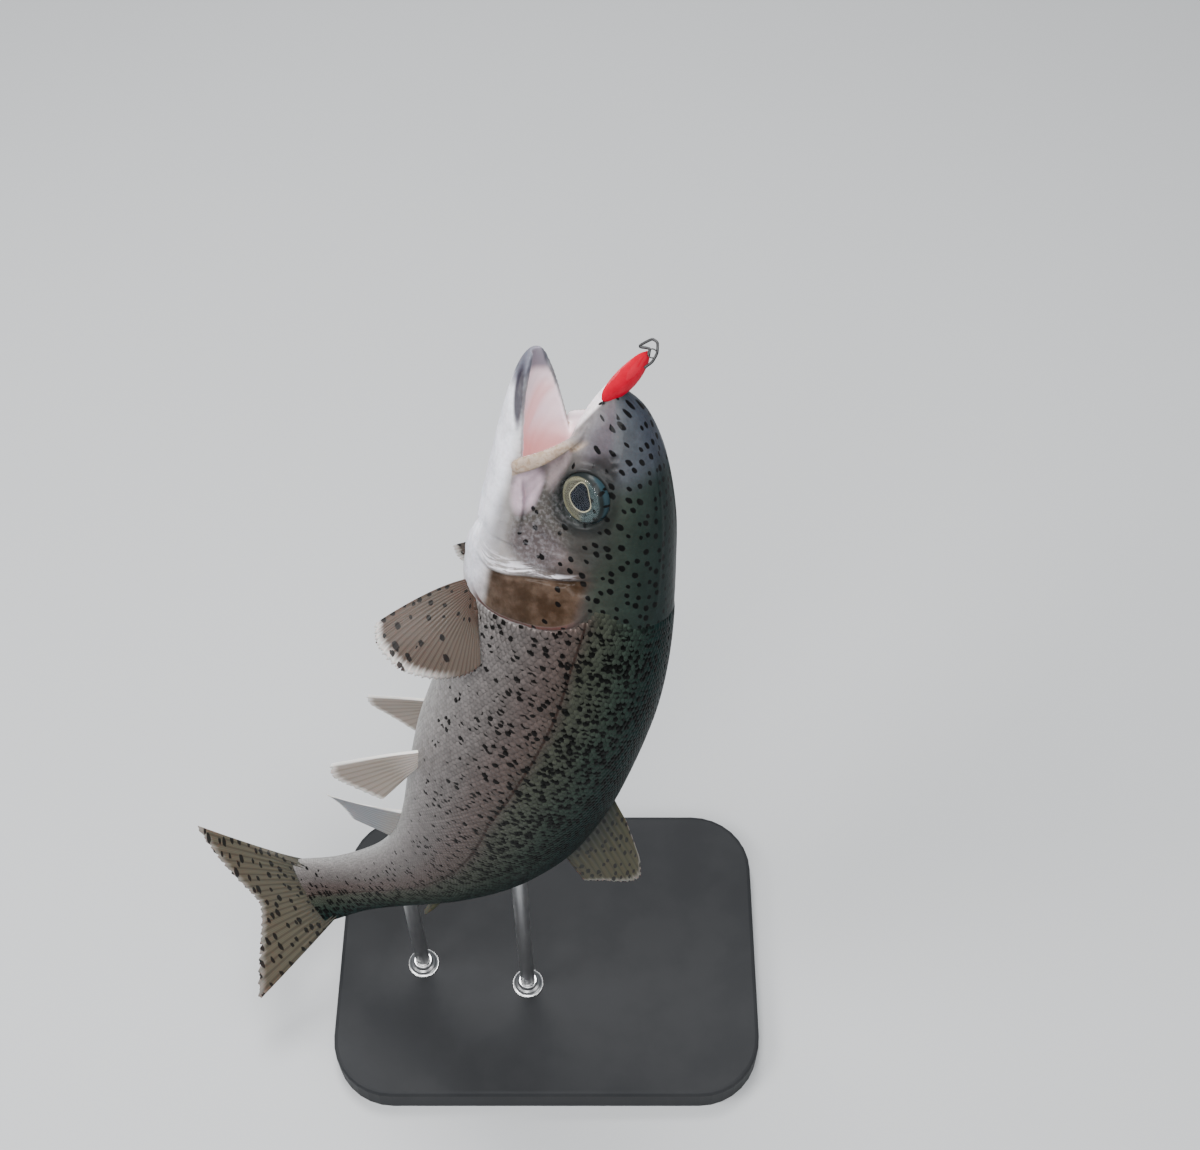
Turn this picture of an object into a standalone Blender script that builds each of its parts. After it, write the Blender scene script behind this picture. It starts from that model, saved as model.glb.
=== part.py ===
"""A life-size rainbow trout, gaping and curled, on a plain display stand.

The fish is shaped straight first: S runs from the snout to the tail, Y to its left side and Z to its
back. The head is rigid. Behind it the body bends, as its spine does, and the fins bend with it.
"""
import math

import bmesh
import bpy
import numpy as np
from mathutils import Matrix, Vector

MM = 0.001
GAP = 0.3 * MM                      # room between two pieces that touch
SNOUT_WIDTH = 0.93                  # of the body outline, above the open mouth

# Lengths along the straight fish, from the snout.
HEAD_END = 86 * MM
RIGID_END = 92 * MM
BELLY_CUT = 200 * MM
VENT_CUT = 290 * MM
STALK_END = 365 * MM
TOTAL_LENGTH = 420 * MM
MOUTH_BACK = 48 * MM

# Outline of the body: place, back, belly and half-width, all in mm.
OUTLINE = (
    (0, 2, -3, 3), (10, 14, -13, 11), (25, 23, -25, 17), (45, 30, -36, 21.5), (70, 35, -40, 24.5),
    (86, 38, -41.5, 26), (105, 40, -43, 27), (130, 41.5, -43, 27.5), (165, 42, -43, 27.5),
    (200, 40, -40, 25), (240, 33, -33, 19.5), (280, 24.5, -24.5, 13.5), (320, 18.5, -18, 8.5),
    (345, 17, -16.5, 6), (365, 18.5, -18.5, 3.6))
# Roof of the mouth along the upper jaw: place and height, in mm.
PALATE = ((0, -3), (10, -6), (25, -9), (40, -13), (48, -15))
# The lower jaw swung open: place, rim, keel and half-width, in mm.
LOWER_JAW = ((-1, -30.5, -33, 3), (4, -29.5, -35.5, 8), (12, -27.5, -37, 12.5), (24, -24, -38.2, 16.5),
             (36, -20.5, -39, 19.5), (48, -17, -39.6, 21.8))
JAW_WALL, JAW_FLOOR = 2.4 * MM, 4 * MM
# The tongue on that floor: place, half-width and height, in mm.
TONGUE = ((12, 2.0, 1.0), (16, 4.2, 2.2), (24, 5.2, 3.0), (34, 5.6, 3.2), (42, 5.6, 3.0))
ROUNDNESS = 2.2                     # 2 is an ellipse; more is squarer
RING_POINTS = 28
FRONT_SPACING, REAR_SPACING = 12 * MM, 11 * MM     # between the trunk's rings

# Attitude of the head, and how the spine turns behind it, in radians for each 100 mm.
HEAD_TAILWARD = Vector((-0.17, -0.33, -0.93))
HEAD_BACKWARD = Vector((0.89, -0.46, 0.0))
BEND_PLACES = (100 * MM, 160 * MM, 230 * MM, 300 * MM, 365 * MM)
BEND_TO_RIGHT = (-0.08, 0.33, 0.16, -0.08, -0.77)
BEND_TO_BELLY = (0.60, 0.04, 0.31, 0.68, 0.24)
TWIST = (-0.33, -0.20, 0.04, 0.10, 0.44)
BEND_RAMP = 20 * MM
SPINE_STEP = 1 * MM
SNOUT = Vector((0.032, 0.039, 0.404))

EYE_CENTRE = Vector((36.5, 15.4, 3)) * MM
EYE_RADII = Vector((10, 6.2, 10)) * MM

# The bone that swings down beside the mouth: three points on its left side, and its section, in mm.
MAXILLA_PATH = ((16, 12.9, -3.6), (26, 18.2, -13.2), (33, 21.8, -23.6))
MAXILLA_HEIGHT, MAXILLA_THICKNESS = 5.8, 2.5

# The gill cover's plate: its middle and its reach forward, back, up and down, as S and Z.
GILL_MIDDLE = (74 * MM, -9 * MM)
GILL_REACH_BACK, GILL_REACH_FRONT = 17 * MM, 13 * MM
GILL_REACH_UP, GILL_REACH_DOWN = 26 * MM, 24 * MM
GILL_LEAN = 3.5 * MM                # how far its lower edge lies behind its middle
GILL_LIFT, GILL_DEPTH = 0.6 * MM, 2 * MM

# Fins: places in mm on the straight fish, rays' directions at both ends, and rays' lengths in mm.
PECTORAL = {"first": (89, -35.5), "last": (99, -26.5), "way_first": (30, 17, -30), "way_last": (34, 8, 12),
            "lengths": (41, 44, 43, 38.5, 32, 25, 18), "bow": 0.35}
PELVIC = {"first": (183, -37.5), "last": (193, -35), "way_first": (28, 5, -31), "way_last": (33, 4, -9),
          "lengths": (40, 42, 38, 32, 26), "bow": 0.15}
DORSAL = {"start": 0.176, "end": 0.224, "lean": (48, 36), "lengths": (12, 33, 38, 36, 32, 28, 24, 21, 18)}
ADIPOSE = {"start": 0.303, "end": 0.311, "lean": (62, 60), "lengths": (5, 13, 15, 12)}
ANAL = {"start": 0.258, "end": 0.289, "lean": (52, 36), "lengths": (12, 38, 41, 36, 30, 24, 19)}
FIN_ROOT, FIN_RIM = 2.4 * MM, 0.7 * MM
TAIL_ROOT, TAIL_RIM, TAIL_HALF_HEIGHT = 5.0 * MM, 0.8 * MM, 17.5 * MM

# The lure: where it sits at the left of the snout, and its own axes in the head's.
LURE_PLACE = Vector((3.3, 9.6, 0.8)) * MM
LURE_AXES = Matrix(((-0.17, -0.39, 0.90), (-0.80, -0.48, -0.37), (-0.58, 0.78, 0.23))).transposed()
SPOON_LENGTH = 22.6 * MM
SPOON_HALF_WIDTH = 4.4 * MM
SPOON_SLOPE = math.radians(47)
SPOON_ROLL = math.radians(38)
SPOON_DISH, SPOON_THICK = 2.2 * MM, 1.1 * MM
SNAP_PATH = ((13.0, 11.5, 1.5), (15.6, 13.4, 2.2), (17.2, 16.5, 1.5), (17.2, 20.0, 0.5), (15.4, 21.2, 0),
             (11.8, 19.4, -0.5), (11.6, 18.6, 0), (14.6, 17.9, 1.0), (14.4, 15.5, 1.8))
HOOK_PATH = ((3.3, 9.5, 0.0), (3.8, 9.3, -2.6), (5.4, 8.4, -5.4), (7.8, 6.8, -7.6), (10.5, 5.0, -8.8))
WIRE_RADIUS = 0.4 * MM

TAIL_SPREAD = math.radians(31)
TAIL_MIDDLE_RAY = 33 * MM
TAIL_OUTER_RAY = 57 * MM

STAND_BASE = (0.210, 0.150, 0.016)
STAND_CORNER = 0.03
ROD_RADIUS = 3.5 * MM
ROD_DEPTH = 15 * MM                 # how far a rod rises above the body's lowest point there
ROD_PLACES = (0.235, 0.318)
BASE_BEVEL = 2 * MM


def smooth_curve(places, values):
    """Returns a smooth function through the points that never overshoots them."""
    x, y = np.array(places, float), np.array(values, float)
    run, slope = np.diff(x), np.diff(y) / np.diff(x)
    tangent = np.concatenate([slope[:1], np.zeros(len(x) - 2), slope[-1:]])
    for i in range(1, len(x) - 1):
        if slope[i - 1] * slope[i] > 0:
            tangent[i] = 2 * slope[i - 1] * slope[i] / (slope[i - 1] + slope[i])

    def value(at):
        at = np.clip(at, x[0], x[-1])
        i = np.clip(np.searchsorted(x, at, side="right") - 1, 0, len(x) - 2)
        t = (at - x[i]) / run[i]
        rise = y[i + 1] - y[i]
        start, end = run[i] * tangent[i], run[i] * tangent[i + 1]
        return y[i] + t * (start + t * (3 * rise - 2 * start - end + t * (start + end - 2 * rise)))

    return value


def table_curve(table, column):
    return smooth_curve([row[0] * MM for row in table], [row[column] * MM for row in table])


BACK, BELLY, HALF_WIDTH = (table_curve(OUTLINE, column) for column in (1, 2, 3))
PALATE_AT = table_curve(PALATE, 1)
JAW_RIM, JAW_KEEL, JAW_HALF_WIDTH = (table_curve(LOWER_JAW, column) for column in (1, 2, 3))


def spine():
    """Returns the points and the frames of the posed spine, one for each step from the snout."""
    tailward = HEAD_TAILWARD.normalized()
    back = (HEAD_BACKWARD - tailward * HEAD_BACKWARD.dot(tailward)).normalized()
    frame = Matrix((tailward, back.cross(tailward), back)).transposed()
    point, points, frames = SNOUT.copy(), [], []
    for step in range(int(round(TOTAL_LENGTH / SPINE_STEP)) + 1):
        points.append(point.copy())
        frames.append(frame.copy())
        s = (step + 0.5) * SPINE_STEP
        ramp = min(1.0, max(0.0, (s - RIGID_END) / BEND_RAMP))
        turn = Vector([np.interp(s, BEND_PLACES, rates) for rates in (TWIST, BEND_TO_BELLY, BEND_TO_RIGHT)])
        turn *= ramp * SPINE_STEP / 0.1
        point = point + frame.col[0] * SPINE_STEP
        if turn.length > 0:
            frame = frame @ Matrix.Rotation(turn.length, 3, turn.normalized())
    return np.array(points), np.array(frames)


SPINE_POINTS, SPINE_FRAMES = spine()


def pose(points):
    """Carries points of the straight fish to the bent one."""
    points = np.atleast_2d(np.asarray(points, float))
    along = np.clip(points[:, 0], 0, TOTAL_LENGTH - 1e-9)
    i = np.minimum((along / SPINE_STEP).astype(int), len(SPINE_POINTS) - 2)
    t = (along / SPINE_STEP - i)[:, None]
    point = SPINE_POINTS[i] * (1 - t) + SPINE_POINTS[i + 1] * t
    frame = SPINE_FRAMES[i] * (1 - t[:, :, None]) + SPINE_FRAMES[i + 1] * t[:, :, None]
    over = (points[:, 0] - along)[:, None]
    return (point + frame[:, :, 0] * over - frame[:, :, 1] * points[:, 1:2]
            + frame[:, :, 2] * points[:, 2:3])


def head_matrix():
    """The head's place: its local axes are tailward, left and back."""
    frame = SPINE_FRAMES[0]
    matrix = Matrix.Identity(4)
    for row in range(3):
        matrix[row][0], matrix[row][1], matrix[row][2] = frame[row, 0], -frame[row, 1], frame[row, 2]
        matrix[row][3] = SPINE_POINTS[0][row]
    return matrix


def material(name, colour, roughness, metallic=0.0):
    made = bpy.data.materials.new(name)
    made.use_nodes = True
    shader = made.node_tree.nodes["Principled BSDF"]
    shader.inputs["Base Color"].default_value = (*colour, 1)
    shader.inputs["Roughness"].default_value = roughness
    shader.inputs["Metallic"].default_value = metallic
    made.diffuse_color = (*colour, 1)
    return made


def add_object(name, verts, faces, finish, in_head=False):
    """Makes a closed mesh object with its faces pointing out, smooth but for its sharp edges."""
    mesh = bpy.data.meshes.new(name)
    mesh.from_pydata([tuple(v) for v in verts], [], faces)
    shell = bmesh.new()
    shell.from_mesh(mesh)
    bmesh.ops.recalc_face_normals(shell, faces=shell.faces)
    if shell.calc_volume(signed=True) < 0:
        bmesh.ops.reverse_faces(shell, faces=shell.faces)
    shell.to_mesh(mesh)
    shell.free()
    mesh.shade_smooth()
    mesh.set_sharp_from_angle(angle=math.radians(50))
    mesh.materials.append(finish)
    made = bpy.data.objects.new(name, mesh)
    bpy.context.scene.collection.objects.link(made)
    if in_head:
        made.matrix_world = head_matrix()
    return made


def loft(rings):
    """Joins closed rings of equal count with quads, and closes both ends with a fan."""
    rings = np.asarray(rings)
    rows, count = rings.shape[:2]
    verts = list(rings.reshape(-1, 3)) + [rings[0].mean(axis=0), rings[-1].mean(axis=0)]
    faces = []
    for row in range(rows - 1):
        for k in range(count):
            a, b = row * count + k, row * count + (k + 1) % count
            faces.append((a, b, b + count, a + count))
    last, middle = (rows - 1) * count, rows * count
    for k in range(count):
        after = (k + 1) % count
        faces.append((k, middle, after))
        faces.append((last + after, middle + 1, last + k))
    return verts, faces


def oval(s, top, bottom, half_width, count=RING_POINTS, grow=0.0):
    """One ring round the body at S: a squarish oval between its top and bottom."""
    angles = np.arange(count) * 2 * math.pi / count
    sine, cosine = np.sin(angles), np.cos(angles)
    power = 2 / ROUNDNESS
    middle, half = (top + bottom) / 2, (top - bottom) / 2 + grow
    y = (half_width + grow) * np.sign(sine) * np.abs(sine) ** power
    z = middle + half * np.sign(cosine) * np.abs(cosine) ** power
    return np.stack([np.full(count, s), y, z], axis=1)


def body_ring(s, grow=0.0):
    return oval(s, BACK(s), BELLY(s), HALF_WIDTH(s), grow=grow)


def skin_point(s, z, side, out=0.0):
    """The point of the body's surface at S and Z on one side, moved outward by out."""
    half = (BACK(s) - BELLY(s)) / 2
    lift = min(0.999, abs(z - (BACK(s) + BELLY(s)) / 2) / half)
    y = HALF_WIDTH(s) * (1 - lift ** ROUNDNESS) ** (1 / ROUNDNESS)
    return np.array([s, side * (y + out), z])


def trunk_piece(name, start, end, finish, spacing):
    count = max(2, int(round((end - start) / spacing)) + 1)
    rings = [body_ring(s) for s in np.linspace(start, end, count)]
    verts, faces = loft(rings)
    return add_object(name, pose(verts), faces, finish)


def head_piece(finish):
    """Skull, snout and cheeks in one: hollow under the palate as far back as the jaw's hinge."""
    rings = []
    for s in (0, 3, 8, 15, 24, 34, 42, 48):
        s *= MM
        width = HALF_WIDTH(s) * SNOUT_WIDTH
        rings.append(oval(s, BACK(s), PALATE_AT(s), width))
    for s in (48.2, 56, 66, 76, 86):
        s = min(s * MM, HEAD_END)
        rings.append(body_ring(s))
    verts, faces = loft(rings)
    return add_object("head", verts, faces, finish, in_head=True)


def trough_ring(s, count=10):
    """A U-shaped section of the lower jaw: round the keel outside, then back round the floor inside."""
    rim, keel, wide = JAW_RIM(s), JAW_KEEL(s), JAW_HALF_WIDTH(s)
    angles = np.linspace(0, math.pi, count)
    outside = [(s, wide * math.cos(a), rim - (rim - keel) * math.sin(a) ** 0.8) for a in angles]
    inner_wide = wide - JAW_WALL * min(1.0, wide / (8 * MM))
    floor = keel + min(JAW_FLOOR, (rim - keel) * 0.6)
    inside = [(s, inner_wide * math.cos(a), rim - (rim - floor) * math.sin(a) ** 0.8)
              for a in angles[::-1]]
    return np.array(outside + inside)


def lower_jaw(finish):
    rings = [trough_ring(s * MM) for s in (-1, 1, 4, 8, 14, 22, 30, 39)] + [trough_ring(MOUTH_BACK - GAP)]
    rows, count = len(rings), len(rings[0])
    verts = np.concatenate(rings)
    faces = []
    for row in range(rows - 1):
        for k in range(count):
            a, b = row * count + k, row * count + (k + 1) % count
            faces.append((a, b, b + count, a + count))
    half = count // 2
    for base in (0, (rows - 1) * count):
        for k in range(half - 1):
            faces.append((base + k, base + k + 1, base + count - 2 - k, base + count - 1 - k))
    return add_object("lower_jaw", verts, faces, finish, in_head=True)


def bar(start, bend, end, height, thickness, count=12, rows=9, grow=0.0):
    """A flattened bar with rounded ends along a curve through three points."""
    start, bend, end = (Vector(p) * MM for p in (start, bend, end))
    rings = []
    for row in range(rows):
        t = row / (rows - 1)
        centre = start * (1 - t) * (1 - 2 * t) + bend * 4 * t * (1 - t) + end * t * (2 * t - 1)
        along = (start * (4 * t - 3) + bend * (4 - 8 * t) + end * (4 * t - 1)).normalized()
        out = (Vector((0, 1 if end.y > 0 else -1, 0)) - along * along.y * (1 if end.y > 0 else -1))
        out.normalize()
        up = along.cross(out)
        size = max(0.25, math.sqrt(max(0.0, 1 - (2 * t - 1) ** 6)))
        ring = []
        for k in range(count):
            angle = 2 * math.pi * k / count
            ring.append(centre + out * math.cos(angle) * (thickness * MM * size / 2 + grow)
                        + up * math.sin(angle) * (height * MM * size / 2 + grow))
        rings.append(ring)
    return loft(rings)


def maxilla_shape(side, grow=0.0):
    start, bend, end = ((s, y * side, z) for s, y, z in MAXILLA_PATH)
    return bar(start, bend, end, MAXILLA_HEIGHT, MAXILLA_THICKNESS, grow=grow)


def ellipsoid(centre, radii, segments=24, rings=14):
    ball = bmesh.new()
    bmesh.ops.create_uvsphere(ball, u_segments=segments, v_segments=rings, radius=1)
    verts = [(centre[0] + v.co.x * radii[0], centre[1] + v.co.z * radii[1], centre[2] + v.co.y * radii[2])
             for v in ball.verts]
    faces = [tuple(v.index for v in f.verts) for f in ball.faces]
    ball.free()
    return verts, faces


def gill_cover_rim(grow, count):
    """The plate's outline as S and Z: squarish, longer behind its middle, leaning back below."""
    rim = []
    for k in range(count):
        sine, cosine = math.sin(2 * math.pi * k / count), math.cos(2 * math.pi * k / count)
        reach_s = (GILL_REACH_BACK if cosine > 0 else GILL_REACH_FRONT) + grow
        reach_z = (GILL_REACH_UP if sine > 0 else GILL_REACH_DOWN) + grow
        rim.append((GILL_MIDDLE[0] + reach_s * math.copysign(abs(cosine) ** 0.8, cosine) - GILL_LEAN * sine,
                    GILL_MIDDLE[1] + reach_z * math.copysign(abs(sine) ** 0.8, sine)))
    return rim


def gill_cover_shape(side, grow=0.0, out=GILL_LIFT):
    """A curved plate over the gill: a rounded outline laid on the body's side."""
    count, rows = 26, 4
    middle_s, middle_z = GILL_MIDDLE
    rim = gill_cover_rim(grow, count)
    verts, faces = [], []
    for depth in (out + (6 * MM if grow else 0), -GILL_DEPTH - grow):
        for row in range(rows, 0, -1):
            share = row / rows
            for s, z in rim:
                at_s, at_z = middle_s + (s - middle_s) * share, middle_z + (z - middle_z) * share
                verts.append(skin_point(min(at_s, RIGID_END), at_z, side, depth))
        verts.append(skin_point(middle_s, middle_z, side, depth))
    layer = rows * count + 1
    for sheet in (0, layer):
        for row in range(rows - 1):
            for k in range(count):
                a, b = sheet + row * count + k, sheet + row * count + (k + 1) % count
                faces.append((a, b, b + count, a + count))
        inner = sheet + (rows - 1) * count
        for k in range(count):
            faces.append((inner + k, inner + (k + 1) % count, sheet + layer - 1))
    for k in range(count):
        after = (k + 1) % count
        faces.append((k, after, layer + after, layer + k))
    return verts, faces


def fin_sheet(rays, thick_base, thick_edge, points=7, bow=0.0):
    """A closed fin blade: each ray is (base, direction, length). It thins to its edge, and bows forward."""
    rows = len(rays)
    bases = np.array([ray[0] for ray in rays])
    ways = np.array([np.array(ray[1]) / np.linalg.norm(ray[1]) for ray in rays])
    lengths = np.array([ray[2] for ray in rays])
    grid = []
    for k in range(points):
        share = k / (points - 1)
        forward = np.outer(lengths * bow * share * (1 - share), (-1, 0, 0))
        grid.append(bases + ways * lengths[:, None] * share + forward)
    grid = np.array(grid)
    along_base = np.gradient(bases, axis=0)
    normals = np.cross(along_base, ways)
    normals /= np.linalg.norm(normals, axis=1)[:, None]
    verts = []
    for side in (1, -1):
        for k in range(points):
            share = k / (points - 1)
            thick = thick_base * (1 - share) ** 2 + thick_edge * (1 - (1 - share) ** 2)
            verts.extend(grid[k] + normals * side * thick / 2)
    faces = []
    layer = rows * points
    for sheet in (0, layer):
        for k in range(points - 1):
            for r in range(rows - 1):
                a = sheet + k * rows + r
                faces.append((a, a + 1, a + 1 + rows, a + rows))
    rim = ([r for r in range(rows)] + [k * rows + rows - 1 for k in range(1, points)]
           + [(points - 1) * rows + r for r in range(rows - 2, -1, -1)]
           + [k * rows for k in range(points - 2, 0, -1)])
    for here, after in zip(rim, rim[1:] + rim[:1]):
        faces.append((here, after, layer + after, layer + here))
    return verts, faces


def midline_fin(name, finish, start, end, lean, lengths, upward=True):
    """A fin on the back or the belly: rays lean back by an angle from upright, first to last."""
    rays = []
    for k, length in enumerate(lengths):
        share = k / (len(lengths) - 1)
        s = start + (end - start) * share
        angle = math.radians(lean[0] + (lean[1] - lean[0]) * share)
        sign = 1 if upward else -1
        height = (BACK(s) if upward else BELLY(s)) + sign * GAP
        rays.append(((s, 0, height), (math.sin(angle), 0, sign * math.cos(angle)), length * MM))
    verts, faces = fin_sheet(rays, FIN_ROOT, FIN_RIM)
    return add_object(name, pose(verts), faces, finish)


def caudal_fin(finish):
    """The tail fin: rays fan out from the stalk's end to a shallow fork."""
    count, rays = 15, []
    for k in range(count):
        across = 2 * k / (count - 1) - 1
        z = -TAIL_HALF_HEIGHT * across
        lean = TAIL_SPREAD * -across
        length = (TAIL_MIDDLE_RAY + (TAIL_OUTER_RAY - TAIL_MIDDLE_RAY) * abs(across) ** 1.5)
        rays.append(((STALK_END + GAP, 0, z), (math.cos(lean), 0, math.sin(lean)), length))
    verts, faces = fin_sheet(rays, TAIL_ROOT, TAIL_RIM, points=8)
    return add_object("caudal_fin", pose(verts), faces, finish)


def side_fin(name, finish, side, first, last, way_first, way_last, lengths, bow):
    """A paired fin: its base runs between two points of the flank, each given as (S, Z) in mm."""
    rays = []
    for k, length in enumerate(lengths):
        share = k / (len(lengths) - 1)
        s, z = ((first[i] + (last[i] - first[i]) * share) * MM for i in (0, 1))
        base = skin_point(s, z, side, 1.6 * MM)
        way = [way_first[i] + (way_last[i] - way_first[i]) * share for i in range(3)]
        rays.append((base, (way[0], side * way[1], way[2]), length * MM))
    verts, faces = fin_sheet(rays, FIN_ROOT, FIN_RIM, bow=bow)
    return add_object(name, pose(verts), faces, finish)


def cut(target, cutter, name):
    """Takes the cutter's shape out of the target with an exact Boolean."""
    step = target.modifiers.new(name, "BOOLEAN")
    step.operation = "DIFFERENCE"
    step.solver = "EXACT"
    step.object = cutter
    cutter.hide_render = True
    cutter.display_type = "WIRE"


def tongue(finish):
    rings = []
    for s, half_width, height in TONGUE:
        floor = JAW_KEEL(s * MM) + JAW_FLOOR + GAP
        rings.append(oval(s * MM, floor + height * MM, floor + 0.1 * MM, half_width * MM, count=14))
    verts, faces = loft(rings)
    return add_object("tongue", verts, faces, finish, in_head=True)


def spoon(finish):
    """A leaf-shaped, dished blade that leans across the front of the snout."""
    rows, count, rings = 9, 12, []
    for row in range(rows):
        t = row / (rows - 1)
        wide = SPOON_HALF_WIDTH * max(0.22, math.sin(math.pi * t ** 0.85) ** 0.7)
        sag = SPOON_DISH * math.sin(math.pi * t)
        rings.append([(t * SPOON_LENGTH, wide * math.cos(2 * math.pi * k / count),
                       SPOON_THICK * 0.5 * math.sin(2 * math.pi * k / count) - sag) for k in range(count)])
    verts, faces = loft(rings)
    made = add_object("lure_spoon", verts, faces, finish)
    made.matrix_world = (head_matrix() @ Matrix.Translation(LURE_PLACE) @ LURE_AXES.to_4x4()
                         @ Matrix.Rotation(SPOON_SLOPE, 4, "Z") @ Matrix.Rotation(SPOON_ROLL, 4, "X"))


def wire(name, points, finish):
    """A bent wire through the points, in the head's axes."""
    curve = bpy.data.curves.new(name, "CURVE")
    curve.dimensions = "3D"
    curve.bevel_depth = WIRE_RADIUS
    curve.bevel_resolution = 2
    curve.use_fill_caps = True
    line = curve.splines.new("POLY")
    line.points.add(len(points) - 1)
    for spot, place in zip(line.points, points):
        spot.co = (*place, 1)
    curve.materials.append(finish)
    made = bpy.data.objects.new(name, curve)
    made.matrix_world = head_matrix()
    bpy.context.scene.collection.objects.link(made)


def solid_data(made):
    """The points and faces of a bmesh, which it frees."""
    verts = [v.co.copy() for v in made.verts]
    faces = [tuple(v.index for v in f.verts) for f in made.faces]
    made.free()
    return verts, faces


def stand_base(finish):
    """A flat base with round corners and a soft upper edge."""
    slab = bmesh.new()
    bmesh.ops.create_cube(slab, size=1)
    bmesh.ops.scale(slab, vec=STAND_BASE, verts=slab.verts)
    bmesh.ops.translate(slab, vec=(0, 0, STAND_BASE[2] / 2), verts=slab.verts)
    uprights = [e for e in slab.edges if abs(e.verts[0].co.z - e.verts[1].co.z) > STAND_BASE[2] / 2]
    bmesh.ops.bevel(slab, geom=uprights, offset=STAND_CORNER, segments=8, profile=0.5, affect="EDGES")
    rims = [e for e in slab.edges if min(v.co.z for v in e.verts) > STAND_BASE[2] - 1e-6]
    bmesh.ops.bevel(slab, geom=rims, offset=BASE_BEVEL, segments=3, profile=0.5, affect="EDGES")
    add_object("stand_base", *solid_data(slab), finish)


def stand_rod(name, s, trunk, finish):
    """An upright rod on the base, let into the body from below at S."""
    around = pose(body_ring(s))
    foot = min(around, key=lambda p: p[2])
    middle = (foot + pose([(s, 0, 0)])[0]) / 2
    top = foot[2] + ROD_DEPTH
    for extra, made_name in ((0.0, name), (GAP, name + "_socket")):
        low, high = STAND_BASE[2] + GAP, top + extra
        rod = bmesh.new()
        bmesh.ops.create_cone(rod, cap_ends=True, segments=24, radius1=ROD_RADIUS + extra,
                              radius2=ROD_RADIUS + extra, depth=high - low)
        bmesh.ops.translate(rod, vec=(middle[0], middle[1], (low + high) / 2), verts=rod.verts)
        made = add_object(made_name, *solid_data(rod), finish)
    cut(trunk, made, "rod socket")


def main():
    for old in list(bpy.data.objects):
        bpy.data.objects.remove(old)
    back_skin = material("trout_skin", (0.16, 0.17, 0.13), 0.35)
    jaw_skin = material("jaw_skin", (0.62, 0.58, 0.55), 0.35)
    fin_skin = material("fin_skin", (0.34, 0.29, 0.22), 0.45)
    eye_gloss = material("eye_gloss", (0.05, 0.05, 0.05), 0.08)
    tongue_skin = material("tongue_skin", (0.72, 0.45, 0.40), 0.35)
    red_enamel = material("red_enamel", (0.75, 0.02, 0.04), 0.15)
    black_wire = material("black_wire", (0.03, 0.03, 0.03), 0.35, 0.8)
    base_paint = material("base_paint", (0.035, 0.036, 0.039), 0.5)
    rod_steel = material("rod_steel", (0.6, 0.6, 0.6), 0.3, 1.0)

    head = head_piece(back_skin)
    front = trunk_piece("trunk_front", HEAD_END + GAP, BELLY_CUT, back_skin, FRONT_SPACING)
    rear = trunk_piece("trunk_rear", BELLY_CUT + GAP, VENT_CUT, back_skin, REAR_SPACING)
    stalk = trunk_piece("tail_stalk", VENT_CUT + GAP, STALK_END, back_skin, REAR_SPACING)
    lower_jaw(jaw_skin)
    tongue(tongue_skin)
    for side, hand in ((1, "left"), (-1, "right")):
        add_object(f"maxilla_{hand}", *maxilla_shape(side), jaw_skin, in_head=True)
        cut(head, add_object(f"maxilla_{hand}_room", *maxilla_shape(side, GAP), jaw_skin, in_head=True),
            "maxilla room")
        centre = Vector((EYE_CENTRE.x, EYE_CENTRE.y * side, EYE_CENTRE.z))
        add_object(f"eye_{hand}", *ellipsoid(centre, EYE_RADII), eye_gloss, in_head=True)
        room = ellipsoid(centre, EYE_RADII + Vector((GAP, GAP, GAP)))
        cut(head, add_object(f"eye_{hand}_room", *room, eye_gloss, in_head=True), "eye socket")
        add_object(f"gill_cover_{hand}", *gill_cover_shape(side), back_skin, in_head=True)
        room = add_object(f"gill_cover_{hand}_room", *gill_cover_shape(side, GAP), back_skin, in_head=True)
        cut(head, room, "gill cover room")
        cut(front, room, "gill cover room")
        side_fin(f"pectoral_fin_{hand}", fin_skin, side, **PECTORAL)
        side_fin(f"pelvic_fin_{hand}", fin_skin, side, **PELVIC)
    midline_fin("dorsal_fin", fin_skin, **DORSAL)
    midline_fin("adipose_fin", fin_skin, **ADIPOSE)
    midline_fin("anal_fin", fin_skin, **ANAL, upward=False)
    caudal_fin(fin_skin)
    spoon(red_enamel)
    wire("lure_snap", [LURE_PLACE + LURE_AXES @ Vector(p) * MM for p in SNAP_PATH], black_wire)
    wire("lure_hook", [Vector(p) * MM for p in HOOK_PATH], black_wire)
    stand_base(base_paint)
    for name, s, trunk in zip(("stand_rod_front", "stand_rod_back"), ROD_PLACES, (rear, stalk)):
        stand_rod(name, s, trunk, rod_steel)


main()
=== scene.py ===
"""Looks of the rainbow trout on its stand: one skin, real scales, rayed fins, eyes, lure and studio.

The fish is shaped straight first: S runs from the snout to the tail, Y to its left side and Z to its
back. The head is rigid, and the body behind it bends as its spine does. Lengths are in metres.
"""
import logging
import math
from dataclasses import dataclass, field
from enum import Enum
from typing import Callable, Sequence

import bpy
import numpy as np
from mathutils import Matrix, Vector


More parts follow.
